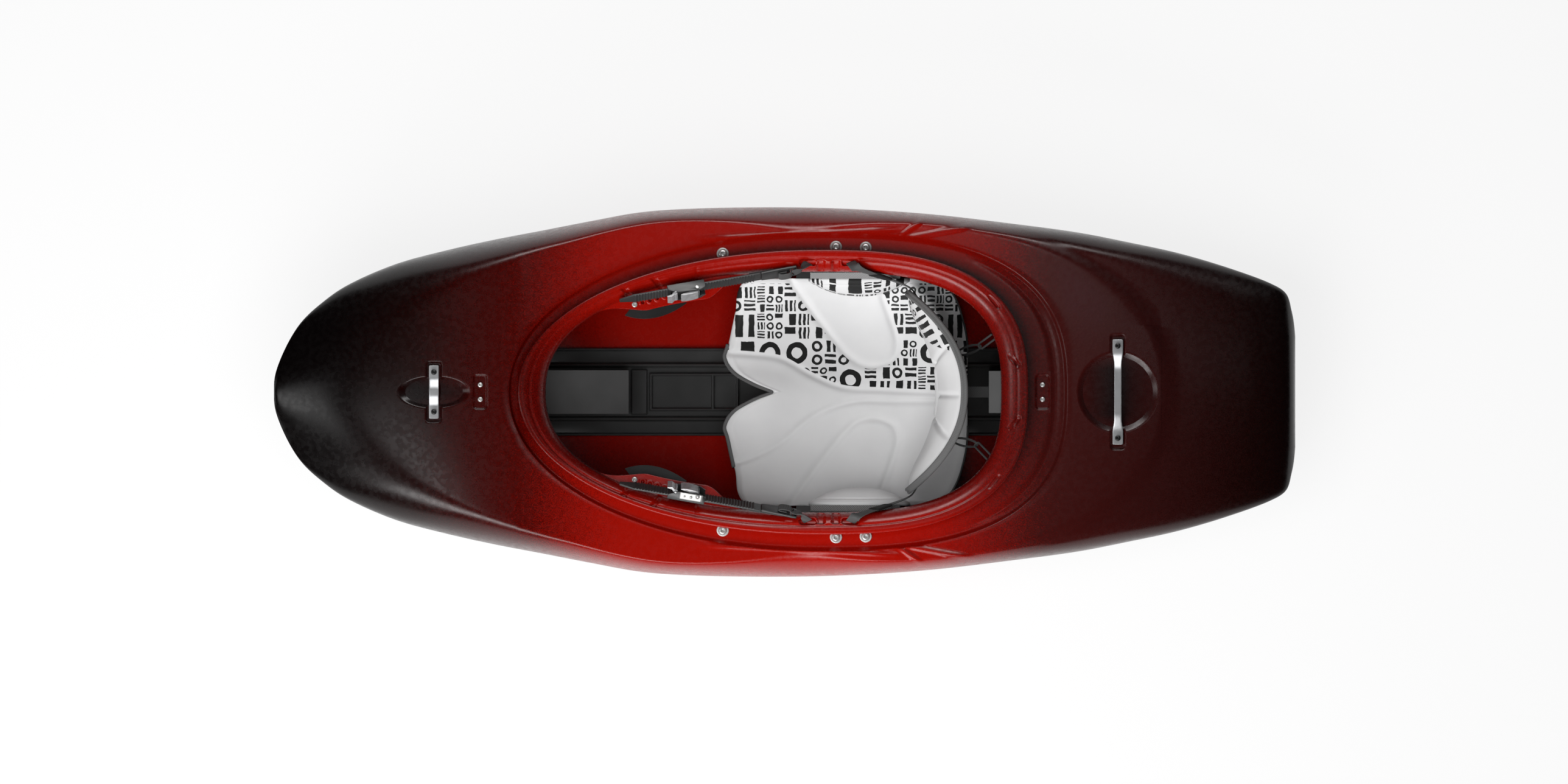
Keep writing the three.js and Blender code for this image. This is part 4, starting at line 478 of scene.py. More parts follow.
# %% Rings of the rim's band, with the marks pressed into it
GROOVE_SHARE, GROOVE_DEPTH, GROOVE_WIDTH = 0.4, 1.6, 2.4
BAND_DROP_SHARES = [(0.2, 0), (0.45, -0.09), (0.7, -0.28), (0.9, -0.6), (1, -1)]
MARK_SOFT = 1.2
SLOT_PLACES, SLOT_INSET, SLOT_HALF = (40.0, 113.0), 22.0, (14.0, 5.0)
SLOT_CORNER, SLOT_SINK = 4.5, 12.0
POCKET_PLACES, POCKET_INSET, POCKET_HALF = (62.0, 88.0), 27.0, (6.5, 9.0)
POCKET_CORNER, POCKET_SINK = 3.0, 6.5
# Each notch has its two ends, half its width and its depth
NOTCHES = [
    (-283, 186, -266, 166, 3.6, 6.0), (-231, 203, -214, 181, 3.6, 6.0), (-152, 224, -150, 196, 1.6, 1.6),
    (352, 163, 366, 146, 3.2, 5.0), (386, 62, 401, 46, 3.2, 5.0), (386, -62, 401, -46, 3.2, 5.0)]
NOTCH_START_SHARE, NOTCH_GAIN_SHARE, NOTCH_EDGE_SHARES = 0.35, 0.65, (0.75, 1.35)
LIP_TIP_POINTS = 5


def box_mark(x, y, middle, half, radius, soft):
    dx = np.abs(x - middle[0]) - (half[0] - radius)
    dy = np.abs(y - middle[1]) - (half[1] - radius)
    away = np.hypot(np.maximum(dx, 0), np.maximum(dy, 0)) + np.minimum(np.maximum(dx, dy), 0) - radius
    return 1 - smooth(-soft, soft, away)


def rim_side(x, inset):
    half = lip[LIP_TIP_POINTS:HALF_ROUND - LIP_TIP_POINTS]
    return np.interp(x, half[:, 0], half[:, 1]) - inset


def band_marks(x, y):
    side = np.abs(y)
    depth = np.zeros_like(x)
    for places, inset, half, corner, sink in (
            (SLOT_PLACES, SLOT_INSET, SLOT_HALF, SLOT_CORNER, SLOT_SINK),
            (POCKET_PLACES, POCKET_INSET, POCKET_HALF, POCKET_CORNER, POCKET_SINK)):
        for place in places:
            middle = (place, float(rim_side(place, inset)))
            depth += sink * box_mark(x, side, middle, half, corner, MARK_SOFT)
    for ax, ay, bx, by, half, deep in NOTCHES:
        away, t = line_distance(x, side, (ax, ay), (bx, by))
        sink = deep * (NOTCH_START_SHARE + NOTCH_GAIN_SHARE * t)
        depth += sink * (1 - smooth(*NOTCH_EDGE_SHARES, away / half))
    return depth


def band_row(share):
    width = band_width()
    inset = LIP_END + (width - LIP_END) * share
    part = inset / width
    drop = along(BAND_DROP_SHARES, part) * RIM_STAND
    drop = drop - GROOVE_DEPTH * np.exp(-((inset - GROOVE_SHARE * width) / GROOVE_WIDTH) ** 2)
    row = rim_row(inset, drop)
    row[:, 2] -= band_marks(row[:, 0], row[:, 1])
    return row


# %% Rings of the thigh hooks and of the rim's underside
HOOK_START, HOOK_FULL, HOOK_FADE, HOOK_END, HOOK_REACH, HOOK_DROP = -318, -258, -150, -70, 35.0, 4.0


def hook_inset(x):
    return HOOK_REACH * smooth(HOOK_START, HOOK_FULL, x) * (1 - smooth(HOOK_FADE, HOOK_END, x))


def hook_row(share, drop=0.0, back=0.0):
    hook = hook_inset(mouth[:, 0])
    return rim_row(band_width() + hook * share - back,
                   -RIM_STAND - HOOK_DROP * hook / HOOK_REACH * share - drop)


def under_row(share):
    width = band_width()
    return rim_row(share * width - RIM_LIP / 2, along(BAND_DROP_SHARES, share) * RIM_STAND - RIM_LIP)


# %% Rings of the groove, and the whole list of rows
VALLEY_DEPTH, VALLEY_SHARE, VALLEY_WIDTH_SHARE, VALLEY_RUN = 4.0, 0.2, 0.13, (300, 440)
EDGE_ROWS, GROOVE_ROWS, BAND_ROWS, DECK_ROWS, DECK_POWER = 7, 14, 33, 41, 1.8
HOOK_SHARES = (0.04, 0.09, 0.17, 0.27, 0.38, 0.5, 0.62, 0.74, 0.84, 0.91, 0.955)
# The hook's rounded edge as drops and places back from it
HOOK_EDGE = ((0.2, 0.6), (0.9, 0.1), (2.2, 0), (3.6, 0.1), (4.6, 0.7), (5, 2))
HALF_HOOK_SHARE, UNDER_SHARES, UNDER_STEP = 0.5, (0.9, 0.8, 0.7, 0.57, 0.45), 3
INNER_SADDLE_SHARE, INNER_DECK_SHARES = 0.97, (1, 0.8, 0.6, 0.42, 0.25, 0.16, 0.09)


def groove_rows():
    foot = oval(SADDLE_FRONT + SADDLE_EDGE / 2, SADDLE_STERN - SADDLE_EDGE, SADDLE_HALF - SADDLE_EDGE,
                RIM_POWERS)
    start = between(lip, mouth, np.full(ROUND, LIP_SECTION[0][0]))
    crest = deck_crest(saddle[:, 0], saddle[:, 1])
    rows = []
    for t in np.linspace(0, 1, EDGE_ROWS + 1)[1:]:
        flat = saddle * (1 - t) + foot * t
        fall = smooth(0, 1, t)
        rows.append(lifted(flat, crest * (1 - fall) + channel_height(flat[:, 0]) * fall))
    for t in np.linspace(0, 1, GROOVE_ROWS + 1)[1:-1]:
        flat = foot * (1 - t) + start * t
        valley = VALLEY_DEPTH * (1 - smooth(0, VALLEY_WIDTH_SHARE, abs(t - VALLEY_SHARE)))
        rows.append(lifted(flat, channel_height(flat[:, 0]) - valley * smooth(*VALLEY_RUN, flat[:, 0])))
    return rows


deck_shares = np.linspace(0, 1, DECK_ROWS + 1)[1:] ** DECK_POWER
top_rows = [bottom_rows(0)[-1]] + [deck_row(s) for s in deck_shares] + groove_rows()
rim_rows = [rim_row(inset, drop) for inset, drop in LIP_SECTION]
rim_rows += [band_row(s) for s in np.linspace(0, 1, BAND_ROWS + 1)[1:]]
rim_rows += [hook_row(s) for s in HOOK_SHARES]
rim_rows += [hook_row(1, drop, back) for drop, back in HOOK_EDGE]
under_rows = [rim_rows[-1], hook_row(HALF_HOOK_SHARE, RIM_LIP),
              rim_row(band_width() - RIM_LIP / 2, -RIM_STAND - RIM_LIP)]
under_rows += [under_row(s) for s in UNDER_SHARES]
under_rows += [rim_row(RIM_OVERHANG + RIM_LIP, -RIM_LIP - UNDER_STEP)]
inner_foot = between(lip, mouth, np.full(ROUND, RIM_OVERHANG + RIM_LIP))
under_rows += [lifted(inner_foot, channel_height(inner_foot[:, 0]) - WALL)]
inner_saddle = saddle * INNER_SADDLE_SHARE
inner_rows = [under_rows[-1], lifted(inner_saddle, channel_height(inner_saddle[:, 0]) - WALL)]
inner_rows += [deck_row(s, WALL) for s in INNER_DECK_SHARES]
inner_rows += bottom_rows(WALL)[::-1]
print(len(top_rows) + len(rim_rows) + len(under_rows) + len(inner_rows), "rows of", ROUND, "points")

# %% From rows to a mesh
WINDOW_MARGIN, PLANE_GAP = 30, 1e-7


def rows_mesh(name, rows):
    count = len(rows[0])
    points = np.vstack(rows) * MM
    j, i = np.meshgrid(np.arange(len(rows) - 1), np.arange(count), indexing="ij")
    k = (i + 1) % count
    faces = np.stack([j * count + i, j * count + k, (j + 1) * count + k, (j + 1) * count + i], -1)
    mesh = bpy.data.meshes.new(name)
    mesh.from_pydata(points.tolist(), [], faces.reshape(-1, 4).tolist())
    return mesh


def mesh_points(mesh):
    spots = np.empty(len(mesh.vertices) * 3)
    mesh.vertices.foreach_get("co", spots)
    return spots.reshape(-1, 3) / MM


def grid_points(x0, x1, y0, y1, step, height):
    xs = np.linspace(x0, x1, int(round((x1 - x0) / step)) + 1)
    ys = np.linspace(y0, y1, int(round((y1 - y0) / step)) + 1)
    x, y = np.meshgrid(xs, ys, indexing="ij")
    return np.stack([x, y, height(x, y)], -1)


def add_grid(bm, grid):
    made = [[bm.verts.new(point * MM) for point in line] for line in grid]
    for line, ahead in zip(made, made[1:]):
        for a, b, c, d in zip(line, ahead, ahead[1:], line[1:]):
            bm.faces.new((a, b, c, d))


def faces_within(bm, x0, x1, y0, y1, margin=0):
    return [f for f in bm.faces if x0 - margin < f.calc_center_median().x / MM < x1 + margin
            and y0 - margin < f.calc_center_median().y / MM < y1 + margin]


def cut_window(bm, x0, x1, y0, y1):
    for axis, value in ((0, x0), (0, x1), (1, y0), (1, y1)):
        near = faces_within(bm, x0, x1, y0, y1, WINDOW_MARGIN)
        edges = {e for f in near for e in f.edges}
        verts = {v for f in near for v in f.verts}
        normal = Vector((axis == 0, axis == 1, 0))
        bmesh.ops.bisect_plane(bm, geom=[*verts, *edges, *near], dist=PLANE_GAP,
                               plane_co=normal * value * MM, plane_no=normal)
    bmesh.ops.delete(bm, geom=faces_within(bm, x0, x1, y0, y1), context="FACES")


# %% [markdown]
# ## Hand recesses and screw pads
#
# A moulded recess has soft edges, and they are what the light catches. The rings of the deck are too
# far apart to bend that tightly, so a window is cut in them and filled with a fine flat grid, whose
# heights are the deck's own height less the depth of the recess. A boolean cut would give the right
# shape too, but with a knife edge that still has to be rounded.

# %% Depths of the recesses
BOW_HANDLE = dict(x=BOW_HANDLE_X, bowl=(60.0, 27.0), depth=20.0, slot=(12.75, 51.5))
STERN_HANDLE = dict(x=STERN_HANDLE_X, bowl=(67.0, 67.0), depth=30.0, slot=(12.0, 98.0))
BOWL_EDGE_SHARE, BOWL_POWER = 1.04, 0.62
SLOT_DEPTH, PAD_HALF, PAD_DEPTH = 4.0, (11.25, 29.0), 3.0
RECESS_CORNER, RECESS_SOFT = 5.5, 1.6
BOW_PAD_X, STERN_PAD_X = -521.5, 442.0
# Each window runs from x to x and from y to y
BOW_WINDOW, STERN_WINDOW, PAD_WINDOW = (-672, -500, -66, 66), (496, 646, -114, 114), (426, 456, -36, 36)
BOW_GRID_STEP, STERN_GRID_STEP, PAD_GRID_STEP = 1.3, 1.5, 1.2


def recess_depth(x, y, handle):
    radius = np.hypot((x - handle["x"]) / handle["bowl"][0], y / handle["bowl"][1])
    inward = np.clip((BOWL_EDGE_SHARE - radius) / BOWL_EDGE_SHARE, 0, 1)
    bowl = handle["depth"] * smooth(0, 1, inward ** BOWL_POWER)
    slot = SLOT_DEPTH * box_mark(x, y, (handle["x"], 0), handle["slot"], RECESS_CORNER, RECESS_SOFT)
    return np.maximum(bowl, slot)


def pad_depression(x, y, pad_x):
    return PAD_DEPTH * box_mark(x, y, (pad_x, 0), PAD_HALF, RECESS_CORNER, RECESS_SOFT)


def bow_surface(x, y):
    return deck_crest(x, y) - recess_depth(x, y, BOW_HANDLE) - pad_depression(x, y, BOW_PAD_X)


def stern_surface(x, y):
    return deck_crest(x, y) - recess_depth(x, y, STERN_HANDLE)


def pad_surface(x, y):
    return channel_height(x) - pad_depression(x, y, STERN_PAD_X)


top = bmesh.new()
top.from_mesh(rows_mesh("deck_rows", top_rows))
for window, surface, step in ((BOW_WINDOW, bow_surface, BOW_GRID_STEP),
                              (STERN_WINDOW, stern_surface, STERN_GRID_STEP),
                              (PAD_WINDOW, pad_surface, PAD_GRID_STEP)):
    cut_window(top, *window)
    add_grid(top, grid_points(*window, step, surface))
print("deck with its recesses:", len(top.faces), "faces")

# %% The row of brace holes in each thigh hook
HOOK_HOLES = [(-243, 153.6), (-230.5, 157.5), (-218, 161), (-205, 165)]
HOLE_EDGE, HOLE_DEPTH, COLLAR_EDGE, COLLAR_RISE = (2.3, 3.0), 6.0, (5.6, 7.4), 1.1
HOOK_WINDOW, HOOK_GRID_STEP = (-262.0, -199.5, 148.8, 172.0), 0.55
ABOVE = 500


def hook_marks(x, y):
    away = np.min([np.hypot(x - hx, np.abs(y) - hy) for hx, hy in HOOK_HOLES], axis=0)
    collar = COLLAR_RISE * (1 - smooth(*COLLAR_EDGE, away))
    return collar - HOLE_DEPTH * (1 - smooth(*HOLE_EDGE, away))


rim = bmesh.new()
rim.from_mesh(rows_mesh("rim_rows", [top_rows[-1], *rim_rows]))
rim_surface = BVHTree.FromBMesh(rim)
for sign in (1, -1):
    x0, x1, low, high = HOOK_WINDOW
    y0, y1 = sorted((sign * low, sign * high))
    grid = grid_points(x0, x1, y0, y1, HOOK_GRID_STEP, hook_marks)
    for place in grid.reshape(-1, 3):
        hit = rim_surface.ray_cast(Vector((place[0], place[1], ABOVE)) * MM, Vector((0, 0, -1)))[0]
        place[2] += hit.z / MM
    cut_window(rim, x0, x1, y0, y1)
    add_grid(rim, grid)
rim_mesh = bpy.data.meshes.new("rim_rows")
rim.to_mesh(rim_mesh)
rim.free()
print("rim with its holes:", len(rim_mesh.polygons), "faces")

# %% Join the deck, the bottom, the rim and the inner face
JOIN_GAP = 0.03
PAINTED_SHADE_GAIN, DECK_LOW = 1.6, 160


def mark_painted_recess_shade(mesh):
    # Keeps how deep each point lies in a hand recess, for the painted shade in the hull's finish
    x, y, z = mesh_points(mesh).T
    painted_recess_shade = np.max([recess_depth(x, y, h) / h["depth"] for h in (BOW_HANDLE, STERN_HANDLE)], axis=0)
    painted_recess_shade = np.clip(painted_recess_shade * PAINTED_SHADE_GAIN, 0, 1) * (z > DECK_LOW)
    mesh.attributes.new("painted_recess_shade", "FLOAT", "POINT").data.foreach_set("value", painted_recess_shade)


top.from_mesh(rim_mesh)
for name, rows in (("bottom_rows", bottom_rows(0)), ("under_rows", under_rows), ("inner_rows", inner_rows)):
    top.from_mesh(rows_mesh(name, rows))
bmesh.ops.remove_doubles(top, verts=top.verts, dist=JOIN_GAP * MM)
bmesh.ops.recalc_face_normals(top, faces=top.faces)
for face in top.faces:
    face.smooth = True
hull_mesh = bpy.data.meshes.new("moulded_hull")
top.to_mesh(hull_mesh)
top.free()
mark_painted_recess_shade(hull_mesh)
hull = bpy.data.objects.new("moulded_hull", hull_mesh)
bpy.context.scene.collection.objects.link(hull)
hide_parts("hull_shell")
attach(hull, "hull")
print("hull:", len(hull_mesh.polygons), "faces")

# %% [markdown]
# ## Polyethylene, airbrushed and polished
#
# The shell is rotomoulded polyethylene. A gloss coat over a red sheet fades to black at both ends.
# The fade is a ramp along the boat, broken up by fine specks, as spray from a nozzle lands in drops.
# Polyethylene is a little soft and waxy: the light spreads more than on paint, and broad shallow waves
# from the mould bend the highlights. The hand recesses get painted shade, nearly black, from a value
# kept in the mesh.

# %% The hull's finish
RAMP_START, RAMP_END = -0.875, 0.875
FADE = [(-0.875, "#020000"), (-0.76, "#040101"), (-0.62, "#140100"), (-0.45, "#3E0200"), (-0.3, "#860A02"),
        (0.1, "#960C03"), (0.24, "#900A02"), (0.43, "#3A0D0B"), (0.64, "#2A0B0A"), (0.8, "#120201"),
        (0.875, "#080101")]
SPECK_SIZE, SPECK_MIDDLE, SPECK_REACH = 1.7, 0.5, 0.3
PAINTED_SHADE_STRENGTH, PAINTED_SHADE_COLOR = 0.93, (0.002, 0.0005, 0.0005, 1)
WAVE_SIZE, WAVE_DETAIL, WAVE_STRENGTH, WAVE_DEPTH = 260.0, 1.0, 0.1, 12.0
PEEL_SIZE, PEEL_DETAIL, PEEL_STRENGTH, PEEL_DEPTH = 9.0, 3.0, 0.04, 0.6
PEEL_SPAN, GLOSS_RANGE = (0.3, 0.7), (0.22, 0.32)


def faded_color(tree, place):
    x = add(tree, "ShaderNodeSeparateXYZ", {"Vector": place}).outputs[0]
    spread = arith(tree, "SUBTRACT", noise(tree, place, SPECK_SIZE), SPECK_MIDDLE)
    sprayed = arith(tree, "ADD", x, arith(tree, "MULTIPLY", spread, SPECK_REACH))
    share = in_range(tree, sprayed, (0.0, 1.0), (RAMP_START, RAMP_END))
    ramp = add(tree, "ShaderNodeValToRGB", {0: share})
    stops = ramp.color_ramp.elements
    while len(stops) < len(FADE):
        stops.new(0.5)
    for stop, (at, color) in zip(stops, FADE):
        stop.position = (at - RAMP_START) / (RAMP_END - RAMP_START)
        stop.color = linear(color)
    return ramp.outputs[0]


def polyethylene():
    material, tree, shader = new_material("rotomoulded_polyethylene", "#8B0A00", 0.2, IOR=1.5,
                                          Specular_IOR_Level=0.36)
    place = object_place(tree)
    # Painted shade: the base colour darkens to nearly black with the depth of a hand recess
    painted_recess_shade = add(tree, "ShaderNodeAttribute", attribute_name="painted_recess_shade").outputs["Fac"]
    shade = arith(tree, "MULTIPLY", painted_recess_shade, PAINTED_SHADE_STRENGTH)
    peel = noise(tree, place, PEEL_SIZE, PEEL_DETAIL)
    wave = noise(tree, place, WAVE_SIZE, WAVE_DETAIL)
    broad = bump(tree, wave, WAVE_STRENGTH, WAVE_DEPTH)
    drive(tree, shader, Base_Color=mix_colors(tree, shade, faded_color(tree, place), PAINTED_SHADE_COLOR),
          Normal=bump(tree, peel, PEEL_STRENGTH, PEEL_DEPTH, broad),
          Roughness=in_range(tree, peel, GLOSS_RANGE, PEEL_SPAN))
    return material


hull_mesh.materials.append(polyethylene())
print("fade stops:", len(FADE))

# %% [markdown]
# ## Shared tools for the outfitting
#
# The pads are sheets of foam: an upper face and a lower face over the same plan, joined at the edge.
# Webbing, cords and piping are one cross section drawn along a line. Two helpers make these, a third
# gives each new piece its body, the solid that it stands for and its finish, and a fourth finds the
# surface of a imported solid, for a piece that lies on it.

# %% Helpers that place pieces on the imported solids
WELD_GAP, SHELL_TOP = 0.02, 600.0


def place_piece(name, mesh, material, body, replaced=()):
    for polygon in mesh.polygons:
        polygon.use_smooth = True
    mesh.materials.append(material)
    piece = bpy.data.objects.new(name, mesh)
    bpy.context.scene.collection.objects.link(piece)
    if replaced:
        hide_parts(*replaced)
    if body:
        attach(piece, body)
    return piece


def box_of(node):
    return (np.array(corner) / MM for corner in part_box(node))


def surface_of(node):
    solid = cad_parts[node]
    surface = BVHTree.FromObject(solid, bpy.context.evaluated_depsgraph_get())
    to_solid = solid.matrix_world.inverted()

    def top_at(x, y):
        hit = surface.ray_cast(to_solid @ Vector((x * MM, y * MM, SHELL_TOP * MM)), Vector((0, 0, -1)))[0]
        return np.array(solid.matrix_world @ hit) / MM

    return top_at


# %% Helpers for sheets, bands and tubes
SPLINE_STEPS, CHANNEL_STEPS, OUTLINE_STEPS = 40, 12, 8


def unit(vector):
    vector = np.asarray(vector, float)
    return vector / np.linalg.norm(vector, axis=-1, keepdims=True)


def welded(mesh, gap=WELD_GAP):
    bm = bmesh.new()
    bm.from_mesh(mesh)
    bmesh.ops.remove_doubles(bm, verts=bm.verts, dist=gap * MM)
    bmesh.ops.dissolve_degenerate(bm, edges=bm.edges, dist=gap * MM)
    bmesh.ops.recalc_face_normals(bm, faces=bm.faces)
    bm.to_mesh(mesh)
    bm.free()
    return mesh


def sheet(name, upper, lower):
    rows = [np.vstack([up, low[::-1]]) for up, low in zip(upper, lower)]
    mesh = rows_mesh(name, rows)
    count, last = len(rows[0]), (len(rows) - 1) * len(rows[0])
    ends = [(offset + i, offset + i + 1, offset + count - 2 - i, offset + count - 1 - i)
            for offset in (0, last) for i in range(count // 2 - 1)]
    faces = [tuple(p.vertices) for p in mesh.polygons] + ends
    closed = bpy.data.meshes.new(name)
    closed.from_pydata([tuple(v.co) for v in mesh.vertices], [], faces)
    return welded(closed)


def spline(points, steps):
    points = np.array(points, float)
    guided = np.vstack([2 * points[0] - points[1], points, 2 * points[-1] - points[-2]])
    return even(rounded_line(guided, SPLINE_STEPS), steps)


def swept(name, path, section, across):
    # The section's first number runs across the band and its second one out of it
    ahead = unit(np.gradient(path, axis=0))
    across = unit(across - ahead * np.sum(across * ahead, axis=1, keepdims=True))
    out = np.cross(ahead, across)
    rows = [centre + a * section[:, :1] + o * section[:, 1:] for centre, a, o in zip(path, across, out)]
    mesh = rows_mesh(name, rows)
    bm = bmesh.new()
    bm.from_mesh(mesh)
    bm.verts.ensure_lookup_table()
    count = len(section)
    bm.faces.new([bm.verts[i] for i in range(count)][::-1])
    bm.faces.new([bm.verts[len(bm.verts) - count + i] for i in range(count)])
    bmesh.ops.recalc_face_normals(bm, faces=bm.faces)
    bm.to_mesh(mesh)
    bm.free()
    return mesh


def turned_band(name, path, section, first, last):
    share = np.linspace(0, 1, len(path))[:, None]
    return swept(name, path, section, np.asarray(first) * (1 - share) + np.asarray(last) * share)


def signed_power(value, power):
    return np.sign(value) * np.abs(value) ** power


def oval_section(width, thickness, sides=14, power=2.0):
    angle = np.linspace(0, 2 * np.pi, sides, endpoint=False)
    return np.column_stack([width / 2 * signed_power(np.cos(angle), 2 / power),
                            thickness / 2 * signed_power(np.sin(angle), 2 / power)])


ALONG_BOAT, UPRIGHT = np.array([1.0, 0.0, 0.0]), np.array([0.0, 0.0, 1.0])
SIDES = (("right", 1), ("left", -1))
print("a round section of", len(oval_section(1, 1)), "points is ready")

# %% [markdown]
# ## Foam and woven finishes
#
# The seat is closed-cell foam, pressed hot in a mould. It comes out matt and pale, with the grain of
# the mould and slight grey clouds. Its print is a plain pattern of bars, rings and blocks, worked out
# by nodes: the surface is split into squares, and each square draws one mark by chance. A painted image
# would do the same, but nodes stay sharp from any distance and need no unwrapping.

# %% The printed pattern
CELL_SIZE, BEND_SIZE, BEND_REACH = 46.0, 14.0, 0.09
MOST_PARTS, MOST_BARS, BAR_SHARE, RING_SHARE, MARK_HALF = 3.0, 3.0, 0.42, 0.78, 0.42
RING_RADIUS, RING_HALF = 0.3, 0.1
INK = "#1A1A1A"


def vector_step(tree, operation, *values):
    return add(tree, "ShaderNodeVectorMath", dict(enumerate(values)), operation=operation).outputs


def split_cells(tree, scaled):
    cell = vector_step(tree, "FLOOR", scaled)[0]
    inside = vector_step(tree, "FRACTION", scaled)[0]
    chance = add(tree, "ShaderNodeTexWhiteNoise", {"Vector": cell}, noise_dimensions="2D").outputs[1]
    return inside, add(tree, "ShaderNodeSeparateXYZ", {0: chance}).outputs


def print_cells(tree, place, run, rise):
    # Squares of three sizes, with slightly bent edges
    ways = [vector_step(tree, "DOT_PRODUCT", place, way)[1] for way in (run, rise)]
    bend = add(tree, "ShaderNodeTexNoise", {"Vector": place, "Scale": 1 / (BEND_SIZE * MM)}).outputs[1]
    bend = vector_step(tree, "MULTIPLY", bend, (BEND_REACH,) * 3)[0]
    flat = add(tree, "ShaderNodeCombineXYZ", {0: ways[0], 1: ways[1]}).outputs[0]
    scaled = vector_step(tree, "MULTIPLY", flat, (1 / (CELL_SIZE * MM),) * 3)[0]
    scaled = vector_step(tree, "ADD", scaled, bend)[0]
    _, big = split_cells(tree, scaled)
    parts = arith(tree, "CEIL", arith(tree, "MULTIPLY", big[0], MOST_PARTS))
    parts = arith(tree, "MAXIMUM", parts, 1.0)
    steps = add(tree, "ShaderNodeCombineXYZ", {0: parts, 1: parts}).outputs[0]
    return split_cells(tree, vector_step(tree, "MULTIPLY", scaled, steps)[0])


def printed(tree, place, base, run, rise):
    # Bars, a ring or a block in each square
    inside, pick = print_cells(tree, place, run, rise)
    at = add(tree, "ShaderNodeSeparateXYZ", {0: inside}).outputs
    turned_over = arith(tree, "GREATER_THAN", pick[0], 0.5)
    axis = add(tree, "ShaderNodeMix", {0: turned_over, 2: at[0], 3: at[1]}).outputs[0]
    count = arith(tree, "CEIL", arith(tree, "MULTIPLY", pick[1], MOST_BARS))
    bars = arith(tree, "FRACT", arith(tree, "MULTIPLY", axis, count))
    bars = arith(tree, "GREATER_THAN", bars, BAR_SHARE)
    centre = vector_step(tree, "DISTANCE", inside, (0.5, 0.5, 0))[1]
    ring = arith(tree, "ABSOLUTE", arith(tree, "SUBTRACT", centre, RING_RADIUS))
    ring = arith(tree, "LESS_THAN", ring, RING_HALF)
    ringed = arith(tree, "GREATER_THAN", pick[2], RING_SHARE)
    mark = add(tree, "ShaderNodeMix", {0: ringed, 2: bars, 3: ring}).outputs[0]
    off = [arith(tree, "ABSOLUTE", arith(tree, "SUBTRACT", at[i], 0.5)) for i in (0, 1)]
    kept = arith(tree, "LESS_THAN", arith(tree, "MAXIMUM", *off), MARK_HALF)
    zone = add(tree, "ShaderNodeAttribute", attribute_name="print_side").outputs["Fac"]
    shown = arith(tree, "GREATER_THAN", zone, 0.0)
    ink = arith(tree, "MULTIPLY", arith(tree, "MULTIPLY", mark, kept), shown)
    return mix_colors(tree, ink, base, linear(INK))


print("three sizes of square, the largest", CELL_SIZE, "mm wide")

# %% [markdown]
# Foam has a fine grain and soft clouds under the print. Woven tape is two sets of ridges that cross, one
# along the tape and one over it, and their product lifts each crossing and paints it lighter, a painted
# highlight.

# %% Pressed foam and woven tape
GRAIN_SIZE, GRAIN_STRENGTH, GRAIN_DEPTH, CLOUD_SIZE, FOAM_DETAIL = 0.9, 0.25, 0.3, 70.0, 3.0
TAPE_ROUGHNESS, WEAVE_LEAN, WEAVE_STRETCH, WEAVE_STRENGTH, WEAVE_DEPTH = 0.75, 0.6, 1.3, 0.5, 0.4


def pressed_foam(name, color, clouded, roughness, print_ways=None):
    material, tree, shader = new_material(name, color, roughness)
    place = object_place(tree)
    tone = mix_colors(tree, noise(tree, place, CLOUD_SIZE, FOAM_DETAIL), linear(clouded), linear(color))
    if print_ways:
        tone = printed(tree, place, tone, *print_ways)
    grain = noise(tree, place, GRAIN_SIZE, FOAM_DETAIL)
    drive(tree, shader, Base_Color=tone, Normal=bump(tree, grain, GRAIN_STRENGTH, GRAIN_DEPTH))
    return material


def woven_tape(name, color, light, rib=1.6, direction=(1.0, 0.2, 0.0)):
    material, tree, shader = new_material(name, color, TAPE_ROUGHNESS)
    place = object_place(tree)
    beside = (-direction[1], direction[0], WEAVE_LEAN)
    waves = []
    for way, size in ((direction, rib), (beside, rib * WEAVE_STRETCH)):
        travel = vector_step(tree, "DOT_PRODUCT", place, unit(way).tolist())[1]
        angle = arith(tree, "MULTIPLY", travel, 2 * math.pi / (size * MM))
        waves.append(arith(tree, "SINE", angle))
    share = in_range(tree, arith(tree, "MULTIPLY", *waves), (0.0, 1.0), (-1.0, 1.0))
    # Painted highlight: the colour turns to the light tone on each raised crossing
    drive(tree, shader, Base_Color=mix_colors(tree, share, linear(color), linear(light)),
          Normal=bump(tree, share, WEAVE_STRENGTH, WEAVE_DEPTH))
    return material


# The two ways in which the print spreads over the seat, a hip pad and the backband
FLAT_PRINT, WALL_PRINT = ((1, 0, 0), (0, 1, 0)), ((1, 0, 0), (0, 0, 1))
BAND_PRINT = ((-0.5, 0.86, 0), (0, 0, 1))
pale_foam = pressed_foam("pressed_eva_foam", "#E2E2E2", "#D2D2D3", 0.6, FLAT_PRINT)
upright_foam = pressed_foam("pressed_eva_foam_upright", "#E2E2E2", "#D2D2D3", 0.6, WALL_PRINT)
# The backband's foam is the seat's foam painted darker, as painted shade for its creases and roll
band_foam_painted_shade = pressed_foam("pressed_eva_foam_band_painted_shade", "#D2D2D2", "#C4C4C5", 0.6, BAND_PRINT)
# The left hip pad's foam has no print and is painted lighter than the seat's, a painted highlight for its lit
# face
plain_foam_painted_light = pressed_foam("pressed_eva_foam_plain_painted_light", "#F6F6F6", "#ECECED", 0.6)
dark_foam = pressed_foam("minicell_foam", "#3A3A3A", "#2E2E2E", 0.5)
sawn_foam = pressed_foam("sawn_polyethylene_foam", "#575757", "#454545", 0.95)
binding = woven_tape("woven_nylon_binding", "#1E1E1E", "#5A5A5A")
webbing = woven_tape("woven_polyester_webbing", "#2E2E2E", "#5E5E5E", 2.0)
trim = woven_tape("woven_nylon_trim", "#161616", "#B4B4B4", 2.2, (1.0, 0.5, 0.0))
nylon = woven_tape("woven_ballistic_nylon", "#191919", "#333333", 1.2, (0.2, 1.0, 0.0))
band_tape = woven_tape("woven_nylon_band_tape", "#3A3A3A", "#757575", 1.9, (0.35, 1.0, 0.0))
